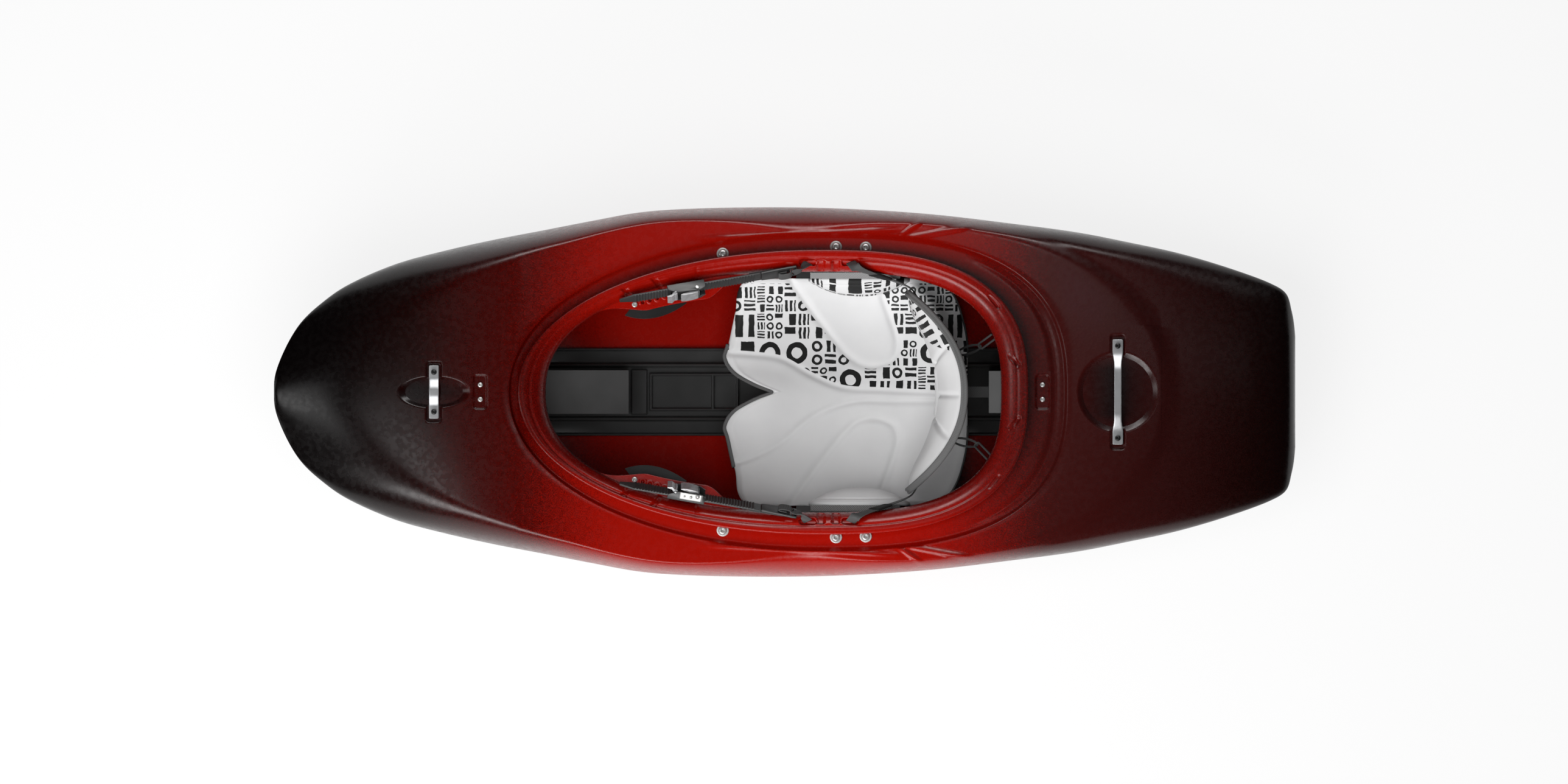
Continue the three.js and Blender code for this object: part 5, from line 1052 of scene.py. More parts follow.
cord_finish = woven_tape("braided_shock_cord", "#1B1B1B", "#454545", 1.3, (1.0, 0.4, 0.6))
print("foam and tape finishes made")

# %% [markdown]
# ## The seat
#
# The seat is one pad of moulded foam with raised panels between pressed channels, a notch for the
# rail at its front and a bound edge. It is drawn as a fine sheet over its plan. The channels are
# lines that press the upper face down with a soft side, which a sculpting brush would do by hand.

# %% Sizes and surfaces of the seat
SEAT_HALF, SEAT_BACK, SEAT_FOAM, SEAT_EDGE, SEAT_STEPS = 195.0, 313.0, 14.0, 12.0, (230, 170)
SEAT_LOW, SEAT_SIDE_RISE, SEAT_SIDE_POWER = 52, 60, 3.5
SEAT_FRONT_RISE, SEAT_FRONT_RUN = 38, (-120, 80)
SEAT_HORN_RISE, SEAT_HORN_HALF, SEAT_HORN_RUN = 18, 40, (-200, 40)
SEAT_TAIL_RISE, SEAT_TAIL_START = 12, 230
SEAT_FRONT_SHARES = [(0, -0.058), (0.07, -0.17), (0.17, -0.275), (0.3, -0.325), (0.4, -0.31), (0.7, -0.27),
                     (0.95, -0.235), (1, -0.13)]
SEAT_BACK_SHARES = [(0, 1), (0.38, 1), (0.6, 0.98), (0.86, 0.92), (0.95, 0.84), (1, 0.7)]
PETAL = [(12, 190), (60, 122), (112, 60), (134, 47), (156, 45), (185, 57), (193, 76), (191, 96), (168, 163)]
SEAT_CHANNELS = [
    [(262, -2), (170, 3), (97, 8), (44, 30), (-5, 57), (-50, 64), (-112, 68)],
    [(262, -15), (190, -16), (121, -16), (53, -39), (-5, -86), (-40, -106), (-100, -128)],
    PETAL, [(x, -y) for x, y in PETAL]]
CHANNEL_DEPTH, CHANNEL_HALF = 4.6, 5.5
# Each panel has its rise and the distances from its channel between which it rises
RIGHT_PANEL, LEFT_PANEL, PETAL_PANEL = (3.0, (3, 26)), (2.0, (3, 24)), (3.4, (2, 14))
BEAD_RISE, BEAD_INSET, BEAD_HALF = 1.8, 9, 4
BEAD_SHARE, PANEL_SHARE, PETAL_SHARE, EDGE_SHARES = 0.6, 0.5, 0.4, (0.45, 0.55)
FAR_AWAY = 1e9


def seat_height(x, y):
    across = np.abs(y) / SEAT_HALF
    return (SEAT_LOW + SEAT_FRONT_RISE * smooth(*SEAT_FRONT_RUN, -x)
            + SEAT_SIDE_RISE * across ** SEAT_SIDE_POWER
            + SEAT_HORN_RISE * np.exp(-(y / SEAT_HORN_HALF) ** 2) * smooth(*SEAT_HORN_RUN, -x)
            + SEAT_TAIL_RISE * smooth(SEAT_TAIL_START, SEAT_BACK, x))


def nearest(x, y, points):
    # Gives each point's distance from a line, and on which side of it the point lies
    line = rounded_line(np.vstack([2 * np.array(points[0]) - points[1], points,
                                   2 * np.array(points[-1]) - points[-2]]), CHANNEL_STEPS)
    best = np.full(np.shape(x), FAR_AWAY)
    side = np.zeros(np.shape(x))
    for a, b in zip(line, line[1:]):
        away, _ = line_distance(x, y, a, b)
        turn = (b[0] - a[0]) * (y - a[1]) - (b[1] - a[1]) * (x - a[0])
        side = np.where(away < best, np.sign(turn), side)
        best = np.minimum(best, away)
    return best, side


def clustered(count):
    return (1 - np.cos(np.linspace(0, np.pi, count))) / 2


def panel_rise(panel, away):
    rise, span = panel
    return rise * smooth(*span, away)


def seat_relief(x, y, edge_way):
    (ridge, ridge_side), (groove, _), *petals = [nearest(x, y, line) for line in SEAT_CHANNELS]
    press = sum(CHANNEL_DEPTH * np.exp(-(away / CHANNEL_HALF) ** 2)
                for away in (ridge, groove, *[away for away, _ in petals]))
    panel = panel_rise(RIGHT_PANEL, ridge) * (ridge_side > 0) + panel_rise(LEFT_PANEL, groove)
    petal = sum(panel_rise(PETAL_PANEL, away) * (side * sign > 0)
                for (away, side), sign in zip(petals, (-1, 1)))
    bead = BEAD_RISE * np.exp(-((edge_way - BEAD_INSET) / BEAD_HALF) ** 2)
    return bead * BEAD_SHARE - press - PANEL_SHARE * panel + PETAL_SHARE * petal


def seat_sheet():
    u, v = np.meshgrid(clustered(SEAT_STEPS[0]), clustered(SEAT_STEPS[1]), indexing="ij")
    across = np.abs(2 * u - 1)
    front = SEAT_BACK * along(SEAT_FRONT_SHARES, across)
    x = front + (SEAT_BACK * along(SEAT_BACK_SHARES, across) - front) * v
    y = (2 * u - 1) * SEAT_HALF
    edge_way = np.minimum(np.minimum(u, 1 - u) * 2 * SEAT_HALF, np.minimum(v, 1 - v) * SEAT_BACK)
    fall = round_up(edge_way / SEAT_EDGE)
    body = SEAT_FOAM * (EDGE_SHARES[0] + EDGE_SHARES[1] * fall)
    low = seat_height(x, y) - SEAT_FOAM
    high = low + body + seat_relief(x, y, edge_way) * fall
    return sheet("seat_foam", np.stack([x, y, high], -1), np.stack([x, y, low], -1))


seat_mesh = seat_sheet()
print("seat foam:", len(seat_mesh.vertices), "points")

# %% [markdown]
# The print covers the right half of the seat and stops short of the channels. A value in the mesh says
# where: above zero there is ink. It grows smoothly, so the edge of the print is a clean line.

# %% Where the seat is printed
PRINT_GAP, PRINT_SIDE_GAP = 5, 9
LOBE_SIDE, LOBE_SLOPE, LOBE_FRONT, LOBE_END = 74, 0.62, 100, 45


def mark_print(mesh, rule):
    values = rule(*mesh_points(mesh).T)
    mesh.attributes.new("print_side", "FLOAT", "POINT").data.foreach_set("value", values)


def within(x, y, points):
    # Counts how often a line to the right crosses the shape's sides: an odd count is inside
    line = rounded_line(np.vstack([points[-1], points, points[0], points[1]]), OUTLINE_STEPS)
    odd = np.zeros(np.shape(x), bool)
    for a, b in zip(line, np.roll(line, -1, axis=0)):
        crosses = (a[1] > y) != (b[1] > y)
        with np.errstate(divide="ignore", invalid="ignore"):
            odd ^= crosses & (x < a[0] + (y - a[1]) * (b[0] - a[0]) / (b[1] - a[1]))
    return odd


def seat_print(x, y, z):
    ridge, ridge_side = nearest(x, y, SEAT_CHANNELS[0])
    leaf, _ = nearest(x, y, PETAL)
    leaf = np.where(within(x, y, PETAL), -leaf, leaf)
    lobe = y - (LOBE_SIDE - LOBE_SLOPE * (x + LOBE_FRONT))
    return np.minimum.reduce([ridge * -ridge_side - PRINT_GAP, leaf - PRINT_GAP,
                              SEAT_HALF - PRINT_SIDE_GAP - np.abs(y), np.where(x < LOBE_END, lobe, y)])


mark_print(seat_mesh, seat_print)
seat = place_piece("seat_foam", seat_mesh, pale_foam, "hull", ["seat_pad"])
print("printed points of the seat marked")

# %% [markdown]
# ## Hip pads
#
# A hip pad is pressed foam too: a thick face that falls away to its edge on the wall side. Foam as
# stiff as this keeps its moulded shape, so it is drawn as rings around its middle instead of being
# blown up by a cloth simulation, which would lose the crisp fall at the edge. A strip of woven trim
# lies outside it, on the wing of the seat pan, and takes its height from that solid.

# %% Hip pads and the trim on the pan's wings
HIP_MIDDLE, HIP_HALF, HIP_BACK, HIP_THICK, HIP_EDGE = (128.0, 161.0), (87.0, 53.0), 194.7, 31.0, 5.0
HIP_POWERS, HIP_CROWN, HIP_SIDES = (0.8, 0.7), 2.2, 144
HIP_SEAM_SHARE, HIP_SEAM_HALF_SHARE, HIP_SEAM_DEPTH = 0.86, 0.02, 1.4
HIP_BACK_SHARES, HIP_FACE_SHARES = (0.0002, 0.3, 0.6, 0.9, 0.97, 0.992), 1 - np.linspace(0.006, 0.9998, 54)
TRIM_FRONT, TRIM_BACK, TRIM_STEPS, TRIM_INNER, TRIM_OUTER, TRIM_THICK = 44.0, 198.0, 60, 196.6, 205.5, 2.6
TRIM_LIFT_SHARE, TRIM_SIDES, TRIM_POWER = 0.7, 32, 4.0


def hip_ring(sign, share, away):
    angle = np.linspace(0, 2 * np.pi, HIP_SIDES, endpoint=False)
    return np.column_stack([HIP_MIDDLE[0] + share * HIP_HALF[0] * signed_power(np.cos(angle), HIP_POWERS[0]),
                            np.full(HIP_SIDES, sign * away),
                            HIP_MIDDLE[1] + share * HIP_HALF[1] * signed_power(np.sin(angle), HIP_POWERS[1])])


def hip_face(share):
    seam = HIP_SEAM_DEPTH * np.exp(-((share - HIP_SEAM_SHARE) / HIP_SEAM_HALF_SHARE) ** 2)
    return HIP_BACK - HIP_EDGE - (HIP_THICK - HIP_EDGE) * (1 - share ** HIP_CROWN) + seam


def hip_pad(side, sign, material):
    rows = [hip_ring(sign, share, HIP_BACK) for share in HIP_BACK_SHARES]
    rows += [hip_ring(sign, 1.0, HIP_BACK - HIP_EDGE / 2)]
    rows += [hip_ring(sign, share, hip_face(share)) for share in HIP_FACE_SHARES]
    mesh = welded(rows_mesh("hip_foam_" + side, rows))
    mark_print(mesh, lambda x, y, z: x * 0 + 1)
    pad = place_piece("hip_foam_" + side, mesh, material, "hull", ["hip_pad_" + side])


def hip_trim(side, sign, pan_at):
    stations = np.linspace(TRIM_FRONT, TRIM_BACK, TRIM_STEPS)
    outer, inner = (np.array([pan_at(x, sign * y) for x in stations]) for y in (TRIM_OUTER, TRIM_INNER))
    up = unit(np.cross(outer - inner, ALONG_BOAT) * sign)
    middle = (outer + inner) / 2 + TRIM_THICK * TRIM_LIFT_SHARE * up * np.sign(up[:, 2:])
    width = float(np.linalg.norm(outer - inner, axis=1).mean()) + TRIM_THICK
    section = oval_section(width, TRIM_THICK, TRIM_SIDES, TRIM_POWER)
    mesh = swept("hip_trim_" + side, middle, section, outer - inner)
    place_piece("hip_trim_" + side, mesh, trim, "hull")


pan_top = surface_of("seat_pan")
for (side, sign), material in zip(SIDES, (upright_foam, plain_foam_painted_light)):
    hip_pad(side, sign, material)
    hip_trim(side, sign, pan_top)
print("hip pads at", HIP_BACK, "mm from the middle")

# %% [markdown]
# ## The backband
#
# A stiff shell carries a thick pad. Its top edges meet in one woven tape, which is the strongest line
# in the cockpit. The pad is pressed in panels: a roll along the top, a lower part that fills the small
# of the back, and creases where it folds round the body. The tape follows the shell's own arc.

# %% The shell's arc and the pad's depth
BAND_HALF, BAND_MIDDLE, BAND_SWEEP, BAND_POWER, BAND_LEAN = 172.0, 312.0, 98.0, 2.2, 34.0
BAND_LOW, BAND_SIDE_RISE, BAND_HIGH, BAND_SIDE_DROP, BAND_SHELL = 59.7, 55.0, 250.0, 28.0, 3.0
PAD_THIN, PAD_SWELL, PAD_SWELL_RATE, PAD_SIDE_LOSS = 13, 20, 1.15, 0.55
CREASE_Y, CREASE_SPREAD, CREASE_DEPTH, CREASE_HALF = 56.0, 62.0, 5.0, 5.5
MID_CREASE_Y, MID_CREASE_HALF, MID_CREASE_SHARE, MID_CREASE_END = -6, 5, 0.8, 60
ROLL_UP_SHARE, ROLL_HALF_SHARE, ROLL_SIDE, ROLL_FADE = 0.56, 0.035, 62, 10
LIP_RISE, LIP_UP_SHARE, LIP_HALF_SHARE = 1.5, 0.8, 0.12


def band_slope(across):
    rate = BAND_SWEEP * BAND_POWER * np.abs(across) ** (BAND_POWER - 1)
    return np.arctan2(rate, BAND_HALF) * np.sign(across)


def band_point(across, up, forward):
    low = BAND_LOW + BAND_SIDE_RISE * across ** 2
    high = BAND_HIGH - BAND_SIDE_DROP * across ** 2
    lean = BAND_LEAN * (1 - across ** 2) * (1 - up)
    slope = band_slope(across)
    return np.stack([BAND_MIDDLE - BAND_SWEEP * np.abs(across) ** BAND_POWER - lean - forward * np.cos(slope),
                     BAND_HALF * across - forward * np.sin(slope), low + (high - low) * up], -1)


def pad_depth(across, up):
    depth = PAD_THIN + PAD_SWELL * np.sin(np.pi * np.minimum(1, PAD_SWELL_RATE * (1 - up)))
    depth = depth * (1 - PAD_SIDE_LOSS * across ** 4)
    y = across * BAND_HALF
    fold = np.abs(np.abs(y) - (CREASE_Y + CREASE_SPREAD * (up - 0.5)))
    middle = np.abs(y - MID_CREASE_Y) + MID_CREASE_END * (up < ROLL_UP_SHARE)
    roll = np.abs(up - ROLL_UP_SHARE) / ROLL_HALF_SHARE + np.maximum(0, (np.abs(y) - ROLL_SIDE) / ROLL_FADE)
    creases = (np.exp(-(fold / CREASE_HALF) ** 2)
               + MID_CREASE_SHARE * np.exp(-(middle / MID_CREASE_HALF) ** 2) + np.exp(-roll ** 2))
    return depth - CREASE_DEPTH * creases + LIP_RISE * np.exp(-((up - LIP_UP_SHARE) / LIP_HALF_SHARE) ** 2)


# %% The pad and the shell behind it
PAD_STEPS, PAD_WIDE_SHARE, PAD_UP_SHARES = (220, 90), 0.97, (0.04, 0.92)
PAD_EDGE_SHARES, PAD_EDGE_RATES, PAD_GAP = (0.35, 0.65), (12, 7), BAND_SHELL + 0.6
COVER_STEPS = (120, 30)
BAND_PRINT_SIDE, BAND_PRINT_SLOPE = 66, 0.35


def band_pad_mesh():
    u, v = np.meshgrid(clustered(PAD_STEPS[0]), clustered(PAD_STEPS[1]), indexing="ij")
    across, up = (2 * u - 1) * PAD_WIDE_SHARE, PAD_UP_SHARES[0] + PAD_UP_SHARES[1] * v
    edges = (round_up(np.minimum(u, 1 - u) * PAD_EDGE_RATES[0])
             * round_up(np.minimum(v, 1 - v) * PAD_EDGE_RATES[1]))
    swell = PAD_EDGE_SHARES[0] + PAD_EDGE_SHARES[1] * edges
    face = band_point(across, up, PAD_GAP + pad_depth(across, up) * swell)
    return sheet("backband_foam", face, band_point(across, up, PAD_GAP))


def band_cover_mesh():
    u, v = np.meshgrid(np.linspace(0, 1, COVER_STEPS[0]), np.linspace(0, 1, COVER_STEPS[1]), indexing="ij")
    return sheet("backband_cover", band_point(2 * u - 1, v, BAND_SHELL), band_point(2 * u - 1, v, 0.0))


band_mesh = band_pad_mesh()
mark_print(band_mesh, lambda x, y, z: y - BAND_PRINT_SIDE - BAND_PRINT_SLOPE * (BAND_HIGH - z))
band_pad = place_piece("backband_foam", band_mesh, band_foam_painted_shade, "backband", ["backband_pad"])
place_piece("backband_cover", band_cover_mesh(), nylon, "backband", ["backband_shell"])
print("backband foam:", len(band_mesh.vertices), "points")

# %% The tape along the backband's edges
TAPE_WIDTH, TAPE_THICK, TAPE_FORWARD, TAPE_SIDES, TAPE_POWER = 12.5, 8.0, 3.6, 28, 2.8
TAPE_STEPS, TAPE_TOP_STEPS, TAPE_END_STEPS, TAPE_TOP_SHARE, TAPE_SIDE_SHARES = 260, 60, 8, 0.95, (0.12, 0.88)
TAPE_CORNER_SHARES = (0.035, 0.1)
STITCH_DEPTH, STITCH_HALF = 1.2, 1.1


def tape_line():
    corner = np.linspace(0, np.pi / 2, TAPE_END_STEPS)
    turn = np.column_stack([1 - TAPE_CORNER_SHARES[0] * (1 - np.sin(corner)),
                            1 - TAPE_CORNER_SHARES[1] * (1 - np.cos(corner))])
    side = np.column_stack([np.full(TAPE_END_STEPS, 1.0), np.linspace(*TAPE_SIDE_SHARES, TAPE_END_STEPS)])
    half = np.vstack([side * [-1, 1], turn[::-1] * [-1, 1]])
    top_line = np.column_stack([np.linspace(-TAPE_TOP_SHARE, TAPE_TOP_SHARE, TAPE_TOP_STEPS),
                                np.ones(TAPE_TOP_STEPS)])
    return np.vstack([half, top_line, half[::-1] * [-1, 1]]).T


tape_path = even(band_point(*tape_line(), TAPE_FORWARD), TAPE_STEPS)
tape_slope = band_slope(np.clip(tape_path[:, 1] / BAND_HALF, -1, 1))
tape_out = np.column_stack([np.cos(tape_slope), np.sin(tape_slope), np.zeros(len(tape_slope))])
tape_section = oval_section(TAPE_WIDTH, TAPE_THICK, TAPE_SIDES, TAPE_POWER)
stitch = STITCH_DEPTH * np.exp(-(tape_section[:, 0] / STITCH_HALF) ** 2)
tape_section[:, 1] -= stitch * np.sign(tape_section[:, 1])
tape_mesh = swept("backband_tape", tape_path, tape_section, tape_out)
place_piece("backband_tape", tape_mesh, band_tape, "backband")
print("tape of", len(tape_path), "sections round the backband")

# %% [markdown]
# ## Thigh pads
#
# Under each hook sits a plate with a pad of minicell foam, cut with a knife and rounded by hand on its
# lower edge. Its plan is a crescent. Rows of the same crescent, drawn in near the top and the bottom,
# give it its soft corners.

# %% Thigh pads
BRACE_FRONT, BRACE_BACK, BRACE_OUTER, BRACE_BULGE = -274.0, -168.0, 172.0, 18.0
BRACE_CORNER, BRACE_END, BRACE_PLATE, BRACE_GAP = 131.0, 152.0, 4.0, 0.3
BRACE_CURVE_STEPS, BRACE_STEPS, HOOK_UNDER_GAP = 34, 160, 0.6
# Each row of the pad has its depth below the plate and how far it is drawn in, as a share
BRACE_ROWS = ((0, 0.6), (0, 0.04), (0.6, 0.012), (1.6, 0), (6, 0), (11, 0.01), (13, 0.035), (14.4, 0.09),
              (15, 0.17), (15, 0.6))
CLOSED_SHARE = 0.001


def hook_height(x):
    return rim_height(x) - RIM_STAND - HOOK_DROP - RIM_LIP - HOOK_UNDER_GAP


def brace_outline():
    t = np.linspace(0, 1, BRACE_CURVE_STEPS)[:, None]
    front, tip = np.array([BRACE_FRONT, BRACE_CORNER]), np.array([BRACE_BACK, BRACE_END])
    middle = np.array([(BRACE_FRONT + BRACE_BACK) / 2, BRACE_CORNER - BRACE_BULGE])
    inner = front * (1 - t) ** 2 + middle * 2 * t * (1 - t) + tip * t ** 2
    outer = [(BRACE_BACK, BRACE_OUTER), (BRACE_FRONT + BRACE_BULGE, BRACE_OUTER - BRACE_BULGE)]
    return even(np.vstack([inner, outer, inner[:1]]), BRACE_STEPS)[:-1]


def closing_row(row):
    middle = row.mean(axis=0)
    flat = row[:, :2] * CLOSED_SHARE + middle[:2] * (1 - CLOSED_SHARE)
    return np.column_stack([flat, middle[2] + 0 * row[:, 2]])


def brace_pad(side, sign):
    plan = brace_outline()
    middle = np.array([(BRACE_FRONT + BRACE_BACK) / 2, (BRACE_CORNER + BRACE_OUTER) / 2])
    rows = []
    for down, inset in BRACE_ROWS:
        x, y = (plan + (middle - plan) * inset).T
        rows.append(np.column_stack([x, sign * y, hook_height(x) - BRACE_PLATE - BRACE_GAP - down]))
    rows = [closing_row(rows[0]), *rows, closing_row(rows[-1])]
    mesh = welded(rows_mesh("thigh_foam_" + side, rows))
    pad = place_piece("thigh_foam_" + side, mesh, dark_foam, "hull", ["thigh_brace_foam_" + side])


for side, sign in SIDES:
    brace_pad(side, sign)
print("thigh pads between", BRACE_FRONT, "and", BRACE_BACK, "mm")

# %% [markdown]
# ## Foam pillars
#
# Two walls of dense foam stand along the middle and hold the deck up. Foam sawn from a block has a
# fine cell grain and slightly rounded edges. Each keeps the solid's shape, with a weld, a small bevel
# and its own finish, because their faces really are flat.

# %% A bevel for flat pieces that keep their solids
SOLID_WELD, FLAT_ANGLE, BEVEL_ANGLE, PILLAR_BEVEL = 0.02, 1.0, 32.0, 2.5


def soften(solid, width, segments):
    weld = solid.modifiers.new("weld", "WELD")
    weld.merge_threshold = SOLID_WELD * MM
    flat = solid.modifiers.new("flat_faces", "DECIMATE")
    flat.decimate_type = "DISSOLVE"
    flat.angle_limit = math.radians(FLAT_ANGLE)
    bevel = solid.modifiers.new("bevel", "BEVEL")
    bevel.width = width * MM
    bevel.segments = segments
    bevel.limit_method = "ANGLE"
    bevel.angle_limit = math.radians(BEVEL_ANGLE)
    bevel.harden_normals = True


def finish_node(name, material, width, segments=3):
    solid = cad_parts[name]
    soften(solid, width, segments)
    for slot in solid.material_slots:
        slot.material = material
    for polygon in solid.data.polygons:
        polygon.use_smooth = True


for name in ("bow_foam_pillar", "stern_foam_pillar"):
    finish_node(name, sawn_foam, PILLAR_BEVEL)
print("pillars softened")

# %% [markdown]
# ## Tape on the seat, webbing, keepers and cords
#
# The seat's edge is bound with tape where it shows most: along the front and at both ends of the back.
# Each tape is a low oval section that follows the seat's own line.

# %% Bound edges of the seat
FRONT_TAPE_SPAN, FRONT_TAPE_LIFT, FRONT_TAPE_AHEAD, FRONT_TAPE_SIZE = (-0.66, 0.42), 1.5, 1.2, (11, 6.4)
BACK_TAPE_SPAN, BACK_TAPE_LIFT, BACK_TAPE_BEHIND, BACK_TAPE_SIZE = (0.3, 0.93), 2.0, 0.6, (10, 3.4)
FRONT_TAPE_STEPS, BACK_TAPE_STEPS, EDGE_TAPE_SIDES, EDGE_TAPE_POWER = (90, 240), (60, 120), 16, 3.0


def seat_edge(line, span, lift, steps):
    share = np.linspace(*span, steps[0])
    x, y = SEAT_BACK * along(line, np.abs(share)), share * SEAT_HALF
    return even(np.column_stack([x, y, seat_height(x, y) - SEAT_FOAM / 2 + lift]), steps[1])


def edge_tape(name, path, size, material):
    mesh = swept(name, path, oval_section(*size, EDGE_TAPE_SIDES, EDGE_TAPE_POWER), UPRIGHT)
    place_piece(name, mesh, material, "hull")


front_edge = seat_edge(SEAT_FRONT_SHARES, FRONT_TAPE_SPAN, FRONT_TAPE_LIFT, FRONT_TAPE_STEPS)
edge_tape("seat_front_tape", front_edge - FRONT_TAPE_AHEAD * ALONG_BOAT, FRONT_TAPE_SIZE, band_tape)
for side, sign in SIDES:
    span = [sign * share for share in BACK_TAPE_SPAN]
    back_edge = seat_edge(SEAT_BACK_SHARES, span, BACK_TAPE_LIFT, BACK_TAPE_STEPS)
    edge_tape("seat_back_tape_" + side, back_edge + BACK_TAPE_BEHIND * ALONG_BOAT, BACK_TAPE_SIZE, binding)
print("front tape of", len(front_edge), "sections")

# %% [markdown]
# Webbing is flat, so it is swept with a wide thin section whose width turns from one end to the other,
# as a strap turns between a slot and a buckle. A strap that joins two bodies belongs to neither and stays
# where it lies.
# Each front webbing runs from its slot in the wall to the frame at the strap's end, goes round the
# frame's bar in a fold, and leaves its tail under the strap.

# %% Places along the ladder straps
STRAP_TIP, STRAP_RUN, STRAP_LEAN = (-283.0, 158.0, 309.0), (242.0, 42.0, -20.0), math.radians(60)
STRAP_LENGTH = float(np.linalg.norm(STRAP_RUN))
FRAME_BAR_END, FRAME_THICK = STRAP_LENGTH + 56.3, 4.5
WEB_WIDTH, WEB_THICK, WEB_SIDES, WEB_POWER = 18.0, 1.8, 24, 5.0
SLOT_DOWN_SHARE, SLOT_DOWN = 0.16, 3
web_section = oval_section(WEB_WIDTH, WEB_THICK, WEB_SIDES, WEB_POWER)


def strap_axes(sign):
    run = unit([STRAP_RUN[0], sign * STRAP_RUN[1], STRAP_RUN[2]])
    leaning = np.array([0, -sign * math.sin(STRAP_LEAN), math.cos(STRAP_LEAN)])
    out = unit(leaning - run * leaning.dot(run))
    return run, np.cross(out, run), out


def strap_points(sign, places):
    run, _, out = strap_axes(sign)
    tip = np.array([STRAP_TIP[0], sign * STRAP_TIP[1], STRAP_TIP[2]])
    return np.array([tip + run * a + out * b for a, b in places])


def slot_point(sign, x, inset):
    height = float(rim_height(np.array([x]))[0]) - RIM_STAND * SLOT_DOWN_SHARE - SLOT_DOWN
    return np.array([x, sign * float(rim_side(x, SLOT_INSET + inset)), height])


print("ladder straps", round(STRAP_LENGTH, 1), "mm long")

# %% Front webbings with their folds and tails
FRONT_SLOT, WEB_KNEE, WEB_OVER_FRAME, FRONT_STEPS, FOLD_STEPS, TAIL_STEPS = (40.0, 0.4), 9, 2.4, 60, 70, 40
# Each place is how far along the strap from its tip, and how far out of the strap
FOLD_PLACES = [(FRAME_BAR_END + ahead, out) for ahead, out in (
    (-3.2, 1.4), (-3, 5), (-6, 9.6), (-14, 11), (-23, 10), (-26, 7.9), (-22, 6.6), (-12, 6.4))]
TAIL_PLACES = [(FRAME_BAR_END - 5, -1.4), (FRAME_BAR_END - 22, -2.0), (STRAP_LENGTH, -2.2),
               (STRAP_LENGTH - 20, -2.6)]
LOOSE_ENDS = (("webbing_fold_", FOLD_PLACES, FOLD_STEPS), ("webbing_tail_", TAIL_PLACES, TAIL_STEPS))

for side, sign in SIDES:
    across_strap = strap_axes(sign)[1] * sign
    start = strap_points(sign, [(FRAME_BAR_END, FRAME_THICK + WEB_OVER_FRAME)])[0]
    slot = slot_point(sign, *FRONT_SLOT)
    path = spline([start, slot + WEB_KNEE * np.array([-1, -sign, 1]), slot], FRONT_STEPS)
    mesh = turned_band("front_strap_" + side, path, web_section, across_strap, ALONG_BOAT)
    front_strap = place_piece("front_strap_" + side, mesh, webbing, None, ["front_webbing_" + side])
    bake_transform(front_strap)
    for name, places, steps in LOOSE_ENDS:
        path = spline(strap_points(sign, places), steps)
        mesh = turned_band(name + side, path, web_section, across_strap, across_strap)
        place_piece(name + side, mesh, webbing, "strap_" + side)
print("front webbings from slots at", FRONT_SLOT[0], "mm")

# %% [markdown]
# A rear webbing runs from its slot to the backband's end and lies along it there. A keeper of napped loop
# fabric holds it together half way. A short strap joins the backband to the stern pillar.

# %% Rear webbings and their keepers
REAR_SLOT, REAR_STEPS, BAND_JOIN_UP = (113.0, -1.3), 90, 0.8
# Each is a share across the backband and a way forward of its shell, so both lie behind it
REAR_KNEE, REAR_END = (1.0, -5.5), (0.93, -1.5)
KEEPER_FROM, KEEPER_TO, KEEPER_SIZE, KEEPER_POWER, KEEPER_STEPS = 152.0, 178.0, (22.5, 5.2), 4.0, 24
NAP_SIZE, NAP_DETAIL, NAP_STRENGTH, NAP_DEPTH = 0.6, 4.0, 0.8, 0.6


def napped_fabric():
    material, tree, shader = new_material("napped_loop_fabric", "#0D0D0D", 0.95)
    fuzz = noise(tree, object_place(tree), NAP_SIZE, NAP_DETAIL)
    drive(tree, shader, Base_Color=mix_colors(tree, fuzz, linear("#070707"), linear("#232323")),
          Normal=bump(tree, fuzz, NAP_STRENGTH, NAP_DEPTH))
    return material


def keeper_mesh(name, path):
    share = np.linspace(0, 1, len(path))[:, None]
    kept = (path[:, 0] > KEEPER_FROM) & (path[:, 0] < KEEPER_TO)
    across = even((ALONG_BOAT * (1 - share) + UPRIGHT * share)[kept], KEEPER_STEPS)
    section = oval_section(*KEEPER_SIZE, WEB_SIDES, KEEPER_POWER)
    return swept(name, even(path[kept], KEEPER_STEPS), section, across)


napped = napped_fabric()
for side, sign in SIDES:
    slot = slot_point(sign, *REAR_SLOT)
    knee, end = (band_point(np.array(across * sign), BAND_JOIN_UP, forward)
                 for across, forward in (REAR_KNEE, REAR_END))
    path = spline([slot, slot + WEB_KNEE * np.array([1, -sign, 1]), knee, end], REAR_STEPS)
    mesh = turned_band("rear_strap_" + side, path, web_section, ALONG_BOAT, UPRIGHT)
    rear_strap = place_piece("rear_strap_" + side, mesh, webbing, None, ["rear_webbing_" + side])
    mesh = keeper_mesh("webbing_keeper_" + side, path)
    keeper = place_piece("webbing_keeper_" + side, mesh, napped, None)
    for piece in (rear_strap, keeper):
        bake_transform(piece)
print("keepers from", KEEPER_FROM, "to", KEEPER_TO, "mm")

# %% Strap from the backband to the stern pillar
PILLAR_STRAP = [(313.4, 0, 150), (322, 0, 143), (336, 0, 137), (349.4, 0, 135)]
PILLAR_STRAP_WIDTH, PILLAR_STRAP_STEPS, TO_THE_SIDE = 19, 40, np.array([0.0, 1.0, 0.0])
path = spline(PILLAR_STRAP, PILLAR_STRAP_STEPS)
section = oval_section(PILLAR_STRAP_WIDTH, WEB_THICK, WEB_SIDES, WEB_POWER)
mesh = swept("pillar_strap", path, section, TO_THE_SIDE)
pillar_strap = place_piece("pillar_strap", mesh, webbing, None)
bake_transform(pillar_strap)
print("strap to the stern pillar of", len(path), "sections")

# %% [markdown]
# The shock cords are loops: out to the hook, round its bar and back under the rim. Braided cord is
# round, so its section is a circle, drawn along a half turn with two straight legs.

